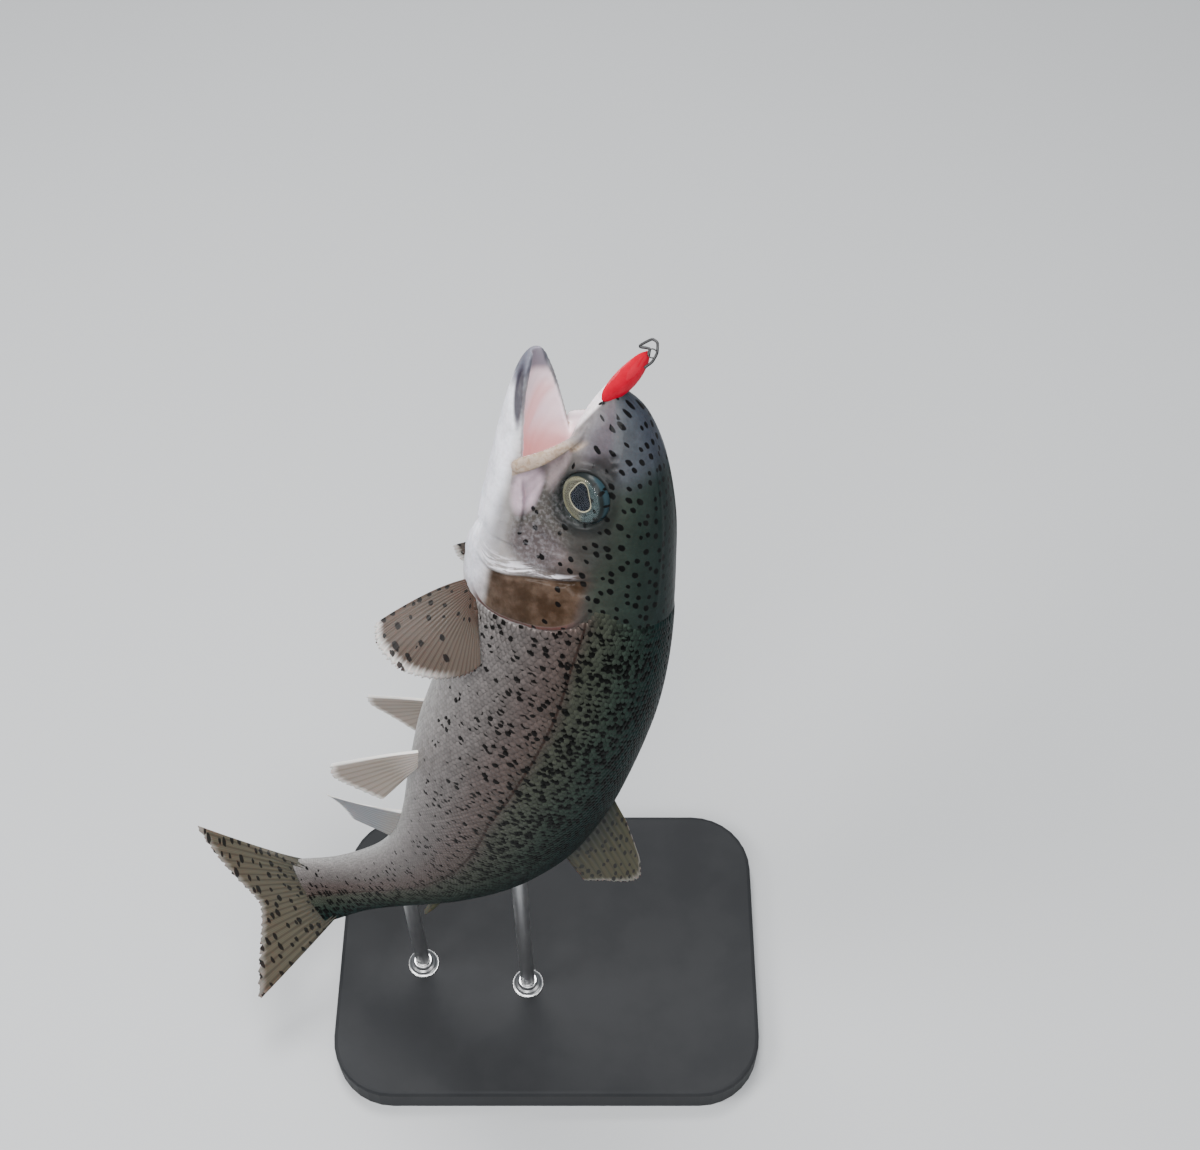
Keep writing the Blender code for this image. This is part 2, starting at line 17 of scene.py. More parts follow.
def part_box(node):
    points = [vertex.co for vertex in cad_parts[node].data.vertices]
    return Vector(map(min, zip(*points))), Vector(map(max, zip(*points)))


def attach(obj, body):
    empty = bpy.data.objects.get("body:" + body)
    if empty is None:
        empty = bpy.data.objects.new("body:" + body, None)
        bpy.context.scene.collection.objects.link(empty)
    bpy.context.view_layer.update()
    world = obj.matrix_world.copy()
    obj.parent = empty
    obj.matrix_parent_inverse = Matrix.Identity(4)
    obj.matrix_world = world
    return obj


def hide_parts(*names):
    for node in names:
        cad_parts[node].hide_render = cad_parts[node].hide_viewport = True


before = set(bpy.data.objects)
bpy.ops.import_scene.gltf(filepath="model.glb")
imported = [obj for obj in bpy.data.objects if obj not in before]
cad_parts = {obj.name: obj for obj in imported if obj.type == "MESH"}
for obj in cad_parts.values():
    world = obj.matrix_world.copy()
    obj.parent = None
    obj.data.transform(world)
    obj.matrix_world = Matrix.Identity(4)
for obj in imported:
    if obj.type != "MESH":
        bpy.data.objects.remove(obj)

log = logging.getLogger("trout")
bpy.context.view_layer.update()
MM = 0.001
NEARLY_ZERO = 1e-12
Array = np.ndarray
Piece, Material = bpy.types.Object, bpy.types.Material
Socket, Node, NodeTree = bpy.types.NodeSocket, bpy.types.Node, bpy.types.NodeTree


class Side(Enum):
    """The fish's two sides, as the sign of Y."""

    LEFT = 1
    RIGHT = -1


def smooth_curve(places: Sequence[float], values: Sequence[float]) -> Callable[[Array], Array]:
    """Makes a smooth curve through points that never overshoots them.

    Args:
        places: where the points lie, rising.
        values: the height at each place.

    Returns:
        A function of a place or an array of places.
    """
    x, y = np.array(places, float), np.array(values, float)
    run, slope = np.diff(x), np.diff(y) / np.diff(x)
    tangent = np.concatenate([slope[:1], np.zeros(len(x) - 2), slope[-1:]])
    for i in range(1, len(x) - 1):
        if slope[i - 1] * slope[i] > 0:
            tangent[i] = 2 * slope[i - 1] * slope[i] / (slope[i - 1] + slope[i])

    def value(at: Array) -> Array:
        """Reads the curve."""
        at = np.clip(at, x[0], x[-1])
        i = np.clip(np.searchsorted(x, at, side="right") - 1, 0, len(x) - 2)
        t = (at - x[i]) / run[i]
        rise, start, end = y[i + 1] - y[i], run[i] * tangent[i], run[i] * tangent[i + 1]
        return y[i] + t * (start + t * (3 * rise - 2 * start - end + t * (start + end - 2 * rise)))

    return value


def table_curves(table: Sequence[Sequence[float]]) -> list[Callable[[Array], Array]]:
    """Reads a table in mm as smooth curves in metres: each later column over the first."""
    places, *columns = (np.array(column) * MM for column in zip(*table))
    return [smooth_curve(places, column) for column in columns]


def ease(low: float, high: float, at: Array) -> Array:
    """Goes smoothly from 0 at low to 1 at high."""
    t = np.clip((at - low) / (high - low), 0, 1)
    return t * t * (3 - 2 * t)


def bell(distance: Array, width: float) -> Array:
    """A soft hump: 1 at no distance, fading over the width."""
    return np.exp(-(distance / width) ** 2)


def turn(count: int) -> Array:
    """The angles of one full turn in equal steps."""
    return np.arange(count) * 2 * math.pi / count


def squared(wave: Array, power: float | Array) -> Array:
    """Raises a sine or a cosine to a power and keeps its sign, which squares an oval's corners."""
    return np.sign(wave) * np.abs(wave) ** power


def unit(vectors: Array) -> Array:
    """Brings vectors to a length of 1."""
    return vectors / (np.linalg.norm(vectors, axis=-1, keepdims=True) + NEARLY_ZERO)


@dataclass
class Body:
    """The straight fish: its outline, and how the spine carries it to the pose."""

    outline: tuple = (
        (0, 2, -3, 3), (10, 14, -13, 11), (25, 23, -25, 17), (45, 30, -36, 21.5), (70, 35, -40, 24.5),
        (86, 38, -41.5, 26), (105, 40, -43, 27), (130, 41.5, -43, 27.5), (165, 42, -43, 27.5),
        (200, 40, -40, 25), (240, 33, -33, 19.5), (280, 24.5, -24.5, 13.5), (320, 18.5, -18, 8.5),
        (345, 17, -16.5, 6), (365, 18.5, -18.5, 3.6))
    roundness: float = 2.2
    rigid_end: float = 92 * MM
    stalk_end: float = 365 * MM
    total_length: float = 420 * MM
    head_tailward: tuple = (-0.17, -0.33, -0.93)
    head_backward: tuple = (0.89, -0.46, 0.0)
    bend_places: tuple = (100 * MM, 160 * MM, 230 * MM, 300 * MM, 365 * MM)
    bend_to_right: tuple = (-0.08, 0.33, 0.16, -0.08, -0.77)
    bend_to_belly: tuple = (0.60, 0.04, 0.31, 0.68, 0.24)
    twist: tuple = (-0.33, -0.20, 0.04, 0.10, 0.44)
    bend_ramp: float = 20 * MM
    rate_length: float = 100 * MM      # the length over which the bends and twists are stated
    step: float = 1 * MM
    snout: tuple = (0.032, 0.039, 0.404)
    points: Array = field(init=False)
    frames: Array = field(init=False)

    def __post_init__(self) -> None:
        """Reads the outline's curves and walks the spine."""
        self.back, self.belly, self.half_width = table_curves(self.outline)
        self.walk_spine()

    def walk_spine(self) -> None:
        """Steps along the spine from the snout, turning as it bends and twists."""
        tailward = Vector(self.head_tailward).normalized()
        upright = Vector(self.head_backward)
        back = (upright - tailward * upright.dot(tailward)).normalized()
        axes = Matrix((tailward, back.cross(tailward), back)).transposed()
        point, points, frames = Vector(self.snout), [], []
        for step in range(int(round(self.total_length / self.step)) + 1):
            points.append(point.copy())
            frames.append(axes.copy())
            s = (step + 0.5) * self.step
            ramp = min(1.0, max(0.0, (s - self.rigid_end) / self.bend_ramp))
            rates = (self.twist, self.bend_to_belly, self.bend_to_right)
            bend = Vector([np.interp(s, self.bend_places, rate) for rate in rates])
            bend *= ramp * self.step / self.rate_length
            point = point + axes.col[0] * self.step
            if bend.length > 0:
                axes = axes @ Matrix.Rotation(bend.length, 3, bend.normalized())
        self.points, self.frames = np.array(points), np.array(frames)

    def pose(self, straight: Array) -> Array:
        """Carries points of the straight fish to the bent one.

        Args:
            straight: points as rows of S, Y and Z.

        Returns:
            The points in the row frame.
        """
        straight = np.atleast_2d(np.asarray(straight, float))
        along = np.clip(straight[:, 0], 0, self.total_length - 1e-9)
        i = np.minimum((along / self.step).astype(int), len(self.points) - 2)
        t = (along / self.step - i)[:, None]
        point = self.points[i] * (1 - t) + self.points[i + 1] * t
        axes = self.frames[i] * (1 - t[:, :, None]) + self.frames[i + 1] * t[:, :, None]
        over = (straight[:, 0] - along)[:, None]
        return (point + axes[:, :, 0] * over - axes[:, :, 1] * straight[:, 1:2]
                + axes[:, :, 2] * straight[:, 2:3])

    def head_matrix(self) -> Matrix:
        """The head's place, with its local axes tailward, left and back."""
        axes = self.frames[0]
        matrix = Matrix.Identity(4)
        for row in range(3):
            matrix[row][:] = (axes[row, 0], -axes[row, 1], axes[row, 2], self.points[0][row])
        return matrix

    def oval(self, s: float, top: float, bottom: float, half_width: float, count: int,
             lower_roundness: float = 0.0) -> Array:
        """One squarish oval ring across the body at S, squarer below where that is asked for."""
        sine, cosine = np.sin(turn(count)), np.cos(turn(count))
        power = np.where((cosine < 0) & (lower_roundness > 0), 2 / max(lower_roundness, 1),
                         2 / self.roundness)
        y = half_width * squared(sine, power)
        z = (top + bottom) / 2 + (top - bottom) / 2 * squared(cosine, power)
        return np.stack([np.full(count, s), y, z], axis=1)

    def heights(self, s: Array) -> tuple[Array, Array]:
        """The height of the body's middle at S, and half its depth."""
        return (self.back(s) + self.belly(s)) / 2, (self.back(s) - self.belly(s)) / 2

    def flank(self, s: Array, z: Array) -> Array:
        """How far out the flank is at S and Z, as a share of the half width."""
        middle, half = self.heights(s)
        lift = np.minimum(0.999, np.abs(z - middle) / half)
        return (1 - lift ** self.roundness) ** (1 / self.roundness)

    def around(self, s: Array, y: Array, z: Array) -> Array:
        """How far round from the back (0) to the belly (1) points lie, whichever the side."""
        middle, half = self.heights(s)
        return np.arctan2(np.abs(y) / self.half_width(s), (z - middle) / half) / math.pi

    def surface(self, s: Array, around: Array, side: Array) -> tuple[Array, Array]:
        """Points and outward normals of the plain body at S and a share of the way round.

        Args:
            s: places along the fish.
            around: 0 at the back to 1 at the belly.
            side: 1 for left and -1 for right.

        Returns:
            The straight points, and their unit normals.
        """
        def at(s: Array, around: Array) -> Array:
            """The surface point itself."""
            power = 2 / self.roundness
            middle, half = self.heights(s)
            y = side * self.half_width(s) * np.abs(np.sin(around * math.pi)) ** power
            return np.stack([s, y, middle + half * squared(np.cos(around * math.pi), power)], axis=1)

        tiny, least = 1e-4, 1e-3
        along = at(s + tiny, around) - at(s - tiny, around)
        after, before = (np.clip(around + step, least, 1 - least) for step in (least, -least))
        normal = unit(np.cross(along, at(s, after) - at(s, before)) * side[:, None])
        return at(s, around), normal

    def half_girth(self, s: Array) -> Array:
        """Half the way round the body at S, from the back to the belly."""
        high, wide = self.heights(s)[1], self.half_width(s)
        return math.pi * (3 * (high + wide) - np.sqrt((3 * high + wide) * (high + 3 * wide))) / 2


# ---------------------------------------------------------------- meshes


def make_mesh(name: str, points: Array, faces: Sequence) -> Piece:
    """Makes a mesh object, shaded smooth, from points and faces.

    Args:
        name: the piece's name.
        points: rows of coordinates.
        faces: lists of point numbers, or an array of quads or triangles.

    Returns:
        The new object, in the scene.
    """
    mesh = bpy.data.meshes.new(name)
    if isinstance(faces, np.ndarray):
        size = faces.shape[1]
        mesh.vertices.add(len(points))
        mesh.vertices.foreach_set("co", np.asarray(points, np.float32).ravel())
        mesh.loops.add(faces.size)
        mesh.loops.foreach_set("vertex_index", faces.astype(np.int32).ravel())
        mesh.polygons.add(len(faces))
        mesh.polygons.foreach_set("loop_start", np.arange(len(faces), dtype=np.int32) * size)
        mesh.update(calc_edges=True)
    else:
        mesh.from_pydata([tuple(p) for p in points], [], faces)
    mesh.shade_smooth()
    made = bpy.data.objects.new(name, mesh)
    bpy.context.scene.collection.objects.link(made)
    return made


def loft(rings: Array) -> tuple[Array, list]:
    """Joins closed rings of equal count, and closes both ends with a fan.

    Args:
        rings: the rings' points, one ring after another.

    Returns:
        The points and the faces.
    """
    rings = np.asarray(rings)
    rows, count = rings.shape[:2]
    points = np.concatenate([rings.reshape(-1, 3), [rings[0].mean(axis=0)], [rings[-1].mean(axis=0)]])
    k = np.arange(count)
    after = (k + 1) % count
    faces = []
    for row in range(rows - 1):
        base = row * count
        faces += np.stack([base + after, base + k, base + k + count, base + after + count], 1).tolist()
    last, middle = (rows - 1) * count, rows * count
    faces += np.stack([k, after, np.full(count, middle)], 1).tolist()
    faces += np.stack([last + after, last + k, np.full(count, middle + 1)], 1).tolist()
    return points, faces


def band(count: int, low: int, high: int) -> list:
    """Quads between two closed rings, given the number of each ring's first point."""
    k = np.arange(count)
    after = (k + 1) % count
    return np.stack([low + k, low + after, high + after, high + k], 1).tolist()


def thin_sheet(rows: int, across: int) -> Array:
    """Quads of a closed thin sheet, whose under side's points follow its upper side's."""
    a = (np.arange(rows - 1)[:, None] * across + np.arange(across - 1)[None, :]).ravel()
    layer = rows * across
    top = np.stack([a, a + 1, a + 1 + across, a + across], 1)
    rim = np.concatenate([np.arange(across), np.arange(1, rows) * across + across - 1,
                          (rows - 1) * across + np.arange(across - 2, -1, -1),
                          np.arange(rows - 2, 0, -1) * across])
    after = np.roll(rim, -1)
    wall = np.stack([after, rim, rim + layer, after + layer], 1)
    return np.concatenate([top, top[:, ::-1] + layer, wall])


def mesh_points(obj: Piece) -> Array:
    """Reads an object's own points."""
    found = np.empty(len(obj.data.vertices) * 3, np.float32)
    obj.data.vertices.foreach_get("co", found)
    return found.reshape(-1, 3).astype(float)


def set_points(obj: Piece, points: Array) -> None:
    """Writes an object's own points."""
    obj.data.vertices.foreach_set("co", np.asarray(points, np.float32).ravel())
    obj.data.update()


def point_normals(obj: Piece) -> Array:
    """Reads an object's point normals."""
    found = np.empty(len(obj.data.vertices) * 3, np.float32)
    obj.data.vertex_normals.foreach_get("vector", found)
    return found.reshape(-1, 3).astype(float)


def store(obj: Piece, name: str, values: Array) -> None:
    """Keeps a value or a vector at each point, for the finishes to read."""
    values = np.asarray(values, np.float32)
    kind, key = ("FLOAT_VECTOR", "vector") if values.ndim == 2 else ("FLOAT", "value")
    obj.data.attributes.new(name, kind, "POINT").data.foreach_set(key, values.ravel())


def apply_modifiers(obj: Piece) -> None:
    """Turns an object's modifiers into its mesh."""
    bpy.context.view_layer.update()
    graph = bpy.context.evaluated_depsgraph_get()
    done = bpy.data.meshes.new_from_object(obj.evaluated_get(graph))
    old = obj.data
    obj.modifiers.clear()
    obj.data = done
    bpy.data.meshes.remove(old)


def remove(obj: Piece) -> None:
    """Takes a helper out of the file."""
    mesh = obj.data
    bpy.data.objects.remove(obj)
    bpy.data.meshes.remove(mesh)


def subtract(target: Piece, cutter: Piece) -> None:
    """Cuts one solid out of another."""
    step = target.modifiers.new("cut", "BOOLEAN")
    step.operation, step.solver, step.object = "DIFFERENCE", "EXACT", cutter
    apply_modifiers(target)


def join(name: str, parts: Sequence[Piece]) -> Piece:
    """Puts several meshes into one object, and removes the parts."""
    points, faces, offset = [], [], 0
    for part in parts:
        points.append(mesh_points(part))
        faces += [[v + offset for v in polygon.vertices] for polygon in part.data.polygons]
        offset += len(part.data.vertices)
        remove(part)
    return make_mesh(name, np.concatenate(points), faces)


def fresh_uv(obj: Piece, points_uv: Array) -> None:
    """Gives the mesh its bake map from a place for each point.

    Args:
        obj: the piece.
        points_uv: a row of U and V for each point.
    """
    layer = obj.data.uv_layers.new(name="OFBake")
    corner = np.empty(len(obj.data.loops), np.int32)
    obj.data.loops.foreach_get("vertex_index", corner)
    layer.data.foreach_set("uv", points_uv[corner].astype(np.float32).ravel())


# ---------------------------------------------------------------- the skin


@dataclass
class Mouth:
    """The open mouth: how the lower jaw hangs, and the hollow between the jaws. Rows are in mm."""

    jaw: tuple = ((-1, -30.5, -33, 3), (1, -29.9, -34.4, 5.4), (4, -29.5, -35.5, 8), (12, -27.5, -37, 12.5),
                  (24, -24, -38.2, 16.5), (36, -20.5, -39, 19.5), (48, -17, -39.8, 21.8),
                  (62, -16, -40.4, 23.2))
    upper_lip: tuple = ((0, -3.2), (4, -5), (10, -7.5), (25, -12), (40, -17), (48, -21), (56, -29),
                        (66, -37.5), (76, -40.5), (92, -42))
    hollow: tuple = ((-6, 2, -31.5, 6.5), (0, -2.6, -31.8, 6.2), (4, -3.4, -32.2, 7.2),
                     (12, -5, -33.6, 10.8), (24, -7, -34.8, 14.2), (36, -9.5, -35.6, 17),
                     (48, -12, -36, 18.6), (60, -15, -35.4, 17), (72, -21, -33, 10), (78, -25, -30, 3))


@dataclass(frozen=True)
class GillCover:
    """The gill cover's outline on the side of the head: a squarish oval that leans. Sizes are in mm."""

    middle: tuple = (73.0, -9.0)
    reach: tuple = (17.0, 25.0)
    ahead: float = 20.0
    lean: float = 5.0
    square: float = 2.95

    def offsets(self, s: Array, z: Array) -> tuple[Array, Array]:
        """How far behind its middle points lie, and their height as a share of its reach."""
        up = (z - self.middle[1] * MM) / (self.reach[1] * MM)
        return s + np.clip(up, -1, 1) * self.lean * MM - self.middle[0] * MM, up

    def share(self, s: Array, z: Array) -> Array:
        """How far out from its middle points lie: 1 at its edge."""
        along, up = self.offsets(s, z)
        along = np.abs(along) / np.where(along > 0, self.reach[0] * MM, self.ahead * MM)
        return (along ** self.square + np.abs(up) ** self.square) ** (1 / self.square)


@dataclass
class Skin:
    """The one skin of head, trunk and tail stalk, with the mouth's lining."""

    body: Body
    mouth: Mouth = field(default_factory=Mouth)
    voxel: float = 0.62 * MM
    scale_depth: float = 0.28 * MM
    ring_points: int = 96
    eye_centre: tuple = (36.5, 15.4, 3.0)
    cheek_square: tuple = ((0, 3.2), (30, 3.2), (44, 5.5), (62, 5.5), (80, 3.2), (92, 2.4))
    cheek_narrow: float = 0.93         # how wide the head is, as a share of the body's outline
    blunt_end: float = 6 * MM          # where the snout's rounded tip ends
    gill: GillCover = GillCover()
    gill_front: float = 13.0 * MM
    # Folds along the front gill bone: how far behind its ridge, height and width, in mm.
    gill_folds: tuple = ((-0.6, 0.50, 1.0), (1.3, -0.65, 0.8), (-4.0, 0.25, 1.6), (7.5, 0.18, 1.5))
    nostrils: tuple = ((19.5, 9.5, 1.0), (22.2, 10.4, 0.8))
    throat_ribs: int = 7
    pores: int = 9
    maxilla_thick: float = 1.25 * MM
    web_thick: float = 0.75 * MM
    maxilla_route: tuple = ((16, 12.9, -3.6), (26, 18.2, -13.2), (33, 21.8, -23.6))
    cheek_corner: tuple = (50, 19.8, -23.0)
    # The tongue's sections: S, half width and height, in mm.
    tongue_rows: tuple = ((9, 1.2, 0.4), (11, 2.6, 1.2), (14, 3.9, 2.0), (20, 4.8, 2.9), (30, 5.4, 3.4),
                          (42, 5.8, 3.6), (56, 6.0, 3.6))
    eye_room: float = 8.9 * MM
    arc_place: float = 38 * MM         # the middle of the cheek bones' arcs, and their radius
    arc_radius: float = 18.5 * MM
    ridge: tuple = ((-33, 70), (-24.5, 74.5), (-18, 73.6), (-9, 70.2), (2.4, 67.5), (11, 64.4), (18, 62))
    made: Piece = field(init=False, default=None)

    def trunk(self) -> Piece:
        """The plain body behind the jaw's hinge, a scale's depth inside its outline."""
        rings = []
        for s in np.concatenate([np.linspace(0.074, 0.36, 96), [0.3635, 0.366]]):
            inset = self.inset(s)
            rings.append(self.body.oval(s, self.body.back(s) - inset, self.body.belly(s) + inset,
                                        self.body.half_width(s) - inset, self.ring_points))
        return make_mesh("trunk form", *loft(rings))

    def inset(self, s: float) -> float:
        """How deep the skin lies inside the body's outline, to leave room for the scales."""
        return self.scale_depth * float(ease(0.070, 0.084, s))

    def upper_head(self) -> Piece:
        """Skull, snout and cheeks, down to the upper lip."""
        (lip,), square = table_curves(self.mouth.upper_lip), self.squareness()
        rings = []
        for s in np.concatenate([[0.0003, 0.001, 0.002, 0.0035], np.linspace(0.0055, 0.092, 48)]):
            blunt = min(1.0, math.sqrt(s / self.blunt_end))
            narrow = self.cheek_narrow * (0.55 + 0.45 * blunt) + 0.07 * float(ease(0.05, 0.085, s))
            width = self.body.half_width(s) * narrow
            rings.append(self.body.oval(s, self.body.back(s) * blunt + (1 - blunt) * 1e-3 - self.inset(s),
                                        lip(s), width - self.inset(s), self.ring_points, float(square(s))))
        return make_mesh("upper head form", *loft(rings))

    def squareness(self) -> Callable[[Array], Array]:
        """How square the cheek is below, along the head."""
        places, squares = zip(*self.cheek_square)
        return smooth_curve(np.array(places) * MM, squares)

    def lower_jaw(self) -> Piece:
        """The jaw's trough before it is hollowed: flat on top, rounded below."""
        rim, keel, wide = table_curves(self.mouth.jaw)
        count = self.ring_points // 2
        angles = np.linspace(0, math.pi, count)
        rings = []
        for s in np.concatenate([[-0.001, -0.0004, 0.0008], np.linspace(0.0025, 0.062, 30)]):
            y = wide(s) * np.cos(angles)
            z = rim(s) - (rim(s) - keel(s)) * np.sin(angles) ** 0.75
            rings.append(np.stack([np.full(count, s), y, z], axis=1))
        return make_mesh("lower jaw form", *loft(rings))

    def hollow(self) -> Piece:
        """The space between the jaws, back to the throat."""
        top, bottom, wide = table_curves(self.mouth.hollow)
        rings = []
        for s in np.linspace(-0.006, 0.078, 40):
            rings.append(self.body.oval(s, top(s), bottom(s), wide(s), 64))
        return make_mesh("mouth hollow", *loft(rings))

    def maxilla_path(self, t: float) -> tuple[Array, Array]:
        """Where the left maxilla's middle runs, and its direction, at a share of its length."""
        start, bend, end = np.array(self.maxilla_route) * MM
        centre = start * (1 - t) * (1 - 2 * t) + bend * 4 * t * (1 - t) + end * t * (2 * t - 1)
        along = start * (4 * t - 3) + bend * (4 - 8 * t) + end * (4 * t - 1)
        return centre, unit(along)

    def maxilla(self, side: Side) -> Piece:
        """The flat bone that swings down from the snout beside the mouth."""
        rings = []
        for t in np.linspace(0, 1, 28):
            centre, along = (row * (1, side.value, 1) for row in self.maxilla_path(t))
            out = unit(np.array((0.0, side.value, 0.0)) - along * along[1] * side.value)
            up = np.cross(along, out)
            size = max(0.2, math.sqrt(max(0.0, 1 - (2 * t - 1) ** 8)))
            deep = (1.8 + 1.1 * float(ease(0.1, 0.85, t))) * MM * size
            rings.append(centre + np.outer(np.cos(turn(24)), out) * self.maxilla_thick * size
                         + np.outer(np.sin(turn(24)), up) * deep)
        return make_mesh("maxilla form", *loft(rings))

    def cheek_web(self, side: Side) -> Piece:
        """The fold of skin that the swung-out maxilla stretches, from its rear edge back to the cheek."""
        (lip,), square = table_curves(self.mouth.upper_lip), self.squareness()
        rows, across = 26, 14
        corner = np.array(self.cheek_corner) * MM
        outer, inner = [], []
        for t in np.linspace(0, 1.35, rows):
            if t <= 1:
                front = self.maxilla_path(t)[0]
            else:
                front = self.maxilla_path(1)[0] + (corner - self.maxilla_path(1)[0]) * (t - 1) / 0.35
            s = (9 + 35 * t + 14 * max(0, t - 1)) * MM
            z = max(lip(s) + (3.5 - 1.0 * t) * MM, -0.0225 if t > 1 else -1)
            middle, half = (self.body.back(s) + lip(s)) / 2, (self.body.back(s) - lip(s)) / 2
            lift = min(0.99, abs(z - middle) / half)
            power = float(square(s))
            flank = self.body.half_width(s) * self.cheek_narrow * (1 - lift ** power) ** (1 / power)
            rear = np.array((s, flank - 1.3 * MM, z))
            for share in np.linspace(0, 1, across):
                sag = 1.1 * MM * math.sin(math.pi * share) * math.sin(math.pi * min(1, t / 1.35))
                crease = 0.25 * MM * math.sin(share * 21 + 3 * t)
                point = front + (rear - front) * share - (0, sag - crease, 0)
                outer.append((point + (0, self.web_thick, 0)) * (1, side.value, 1))
                inner.append((point - (0, self.web_thick, 0)) * (1, side.value, 1))
        faces = thin_sheet(rows, across)
        if side is Side.RIGHT:
            faces = faces[:, ::-1]
        return make_mesh("cheek web form", np.array(outer + inner), faces)

    def gill_plate(self, side: Side) -> Piece:
        """The gill cover's plate, which stands free of the body at its rear edge."""
        count, rows = 72, 12
        middle, power = np.array(self.gill.middle) * MM, 2 / self.gill.square
        cosine, sine = np.cos(turn(count)), np.sin(turn(count))
        reach = np.where(cosine > 0, self.gill.reach[0] * MM, self.gill_front)
        rim_s = middle[0] + reach * squared(cosine, power) - sine * self.gill.lean * MM
        rim_z = middle[1] + self.gill.reach[1] * MM * squared(sine, power)
        layers = []
        for outer in (True, False):
            for row in range(rows, 0, -1):
                share = row / rows
                s = middle[0] + (rim_s - middle[0]) * share
                z = middle[1] + (rim_z - middle[1]) * share
                lift = 1.7 * MM * ease(0.066, 0.090, s) * (1 - 0.3 * share ** 8) if outer else -1.6 * MM
                layers.append(self.on_flank(s, z, side, lift))
        points = np.concatenate(layers)
        faces = []
        for sheet in (0, rows):
            for row in range(sheet, sheet + rows - 1):
                faces += band(count, row * count, (row + 1) * count)
            faces.append(((sheet + rows - 1) * count + np.arange(count)).tolist())
        faces += band(count, 0, rows * count)
        return make_mesh("gill plate form", points, faces)

    def on_flank(self, s: Array, z: Array, side: Side, out: Array) -> Array:
        """Points of the flank at S and Z, moved outward."""
        wide = self.body.half_width(s) * np.where(s < 0.07, 0.97, 1.0)
        return np.stack([s, side.value * (wide * self.body.flank(s, z) + out), z], axis=1)

    def tongue(self) -> Piece:
        """The tongue, low in the floor of the mouth."""
        rings = []
        for s, wide, high in self.tongue_rows:
            floor = -34.0 - 1.9 * min(1.0, s / 30)
            rings.append(self.body.oval(s * MM, (floor + high) * MM, (floor - 1.5) * MM, wide * MM, 32))
        return make_mesh("tongue form", *loft(rings))

    def build(self) -> Piece:
        """Grows one closed skin over all the forms, then models the face into it."""
        upper, jaw, hollow = self.upper_head(), self.lower_jaw(), self.hollow()
        subtract(upper, hollow)
        subtract(jaw, hollow)
        remove(hollow)
        parts = [upper, jaw, self.trunk(), self.tongue()]
        for side in Side:
            parts += [self.maxilla(side), self.cheek_web(side), self.gill_plate(side)]
        skin = join("trout_skin", parts)
        grow = skin.modifiers.new("one skin", "REMESH")
        grow.mode, grow.voxel_size = "VOXEL", self.voxel * 1
        even = skin.modifiers.new("even", "SMOOTH")
        even.factor, even.iterations = 0.5, 2
        apply_modifiers(skin)
        skin.data.shade_smooth()
        self.made = skin
        self.model_face()
        self.keep_places()
        return skin

    def model_face(self) -> None:
        """Pushes the sockets, rims, ridges, folds and pores of the head in and out of the skin."""
        points, normals = mesh_points(self.made), point_normals(self.made)
        s, y, z = points.T
        move = np.zeros(len(points))
        outer = (self.mouth_lining(points) < 0.5) & (s < 0.1)
        flank = outer & (np.abs(normals[:, 1]) > 0.25)

        def press(where: Array, height: float, distance: Array, width: float,
                  held: Array | float = 1.0) -> None:
            """Raises a soft hump, or sinks it where the height is negative. Height and width are in mm."""
            np.add(move, np.where(where, height * MM * bell(distance, width * MM) * held, 0), out=move)

        # The eye's socket, its swollen rim, and the fold in front of and behind it.
        radius = np.hypot(s - self.eye_centre[0] * MM, z - self.eye_centre[2] * MM)
        sunk = 4.2 * MM * (1 - ease(0.88, 1.06, radius / self.eye_room))
        points[:, 1] -= np.sign(y) * np.where(flank & (np.abs(y) > 8 * MM), sunk, 0)
        press(flank, 0.75, radius - self.eye_room * 1.16, 1.1)
        press(flank, -0.45, radius - self.eye_room * 1.5, 1.4)
        # Nostrils: two small pits with a flap between, on each side of the snout.
        for spot_s, spot_z, deep in self.nostrils:
            apart = np.hypot(s - spot_s * MM, z - spot_z * MM)
            press(outer & (np.abs(y) > 6 * MM), -deep, apart, 0.95)
            press(outer & (np.abs(y) > 6 * MM), 0.14, apart - 1.6 * MM, 0.6)
        # Ridges and grooves of the cheek bones, as arcs round the back of the eye.
        from_eye = s - self.arc_place
        from_arc = np.hypot(from_eye, z * 0.82) - self.arc_radius
        angle = np.degrees(np.arctan2(-z, from_eye))
        press(flank, -0.32, from_arc, 0.9, ease(-62, -38, angle) * (1 - ease(78, 102, angle)))
        behind = self.behind_ridge(s, z)
        held = ease(-33 * MM, -26 * MM, z) * (1 - ease(8 * MM, 18 * MM, z))
        for offset, high, width in self.gill_folds:
            press(flank, high, behind - offset * MM, width, held)
        # The membranes under the gill covers: ribs that run back along the throat.
        held = ease(50 * MM, 58 * MM, s) * (1 - ease(86 * MM, 93 * MM, s))
        for rib in range(self.throat_ribs):
            line = -30.0 - 1.75 * rib - 2.5 * np.clip((s / MM - 52) / 40, 0, 1)
            press(outer & (np.abs(y) > 2 * MM), 0.34, z - line * MM, 0.5, held)
        # Chin grooves either side of the isthmus, and lines in the skull's roof.
        under = outer & (normals[:, 2] < -0.3) & (s > 4 * MM)
        press(under, -0.55, np.abs(y) - (5.0 + 0.12 * s / MM) * MM, 0.9, 1 - ease(70 * MM, 88 * MM, s))
        held = ease(12 * MM, 22 * MM, s) * (1 - ease(66 * MM, 80 * MM, s))
        press(outer & (normals[:, 2] > 0.55), 0.28, np.abs(y) - (3.2 + 0.07 * s / MM) * MM, 1.0, held)
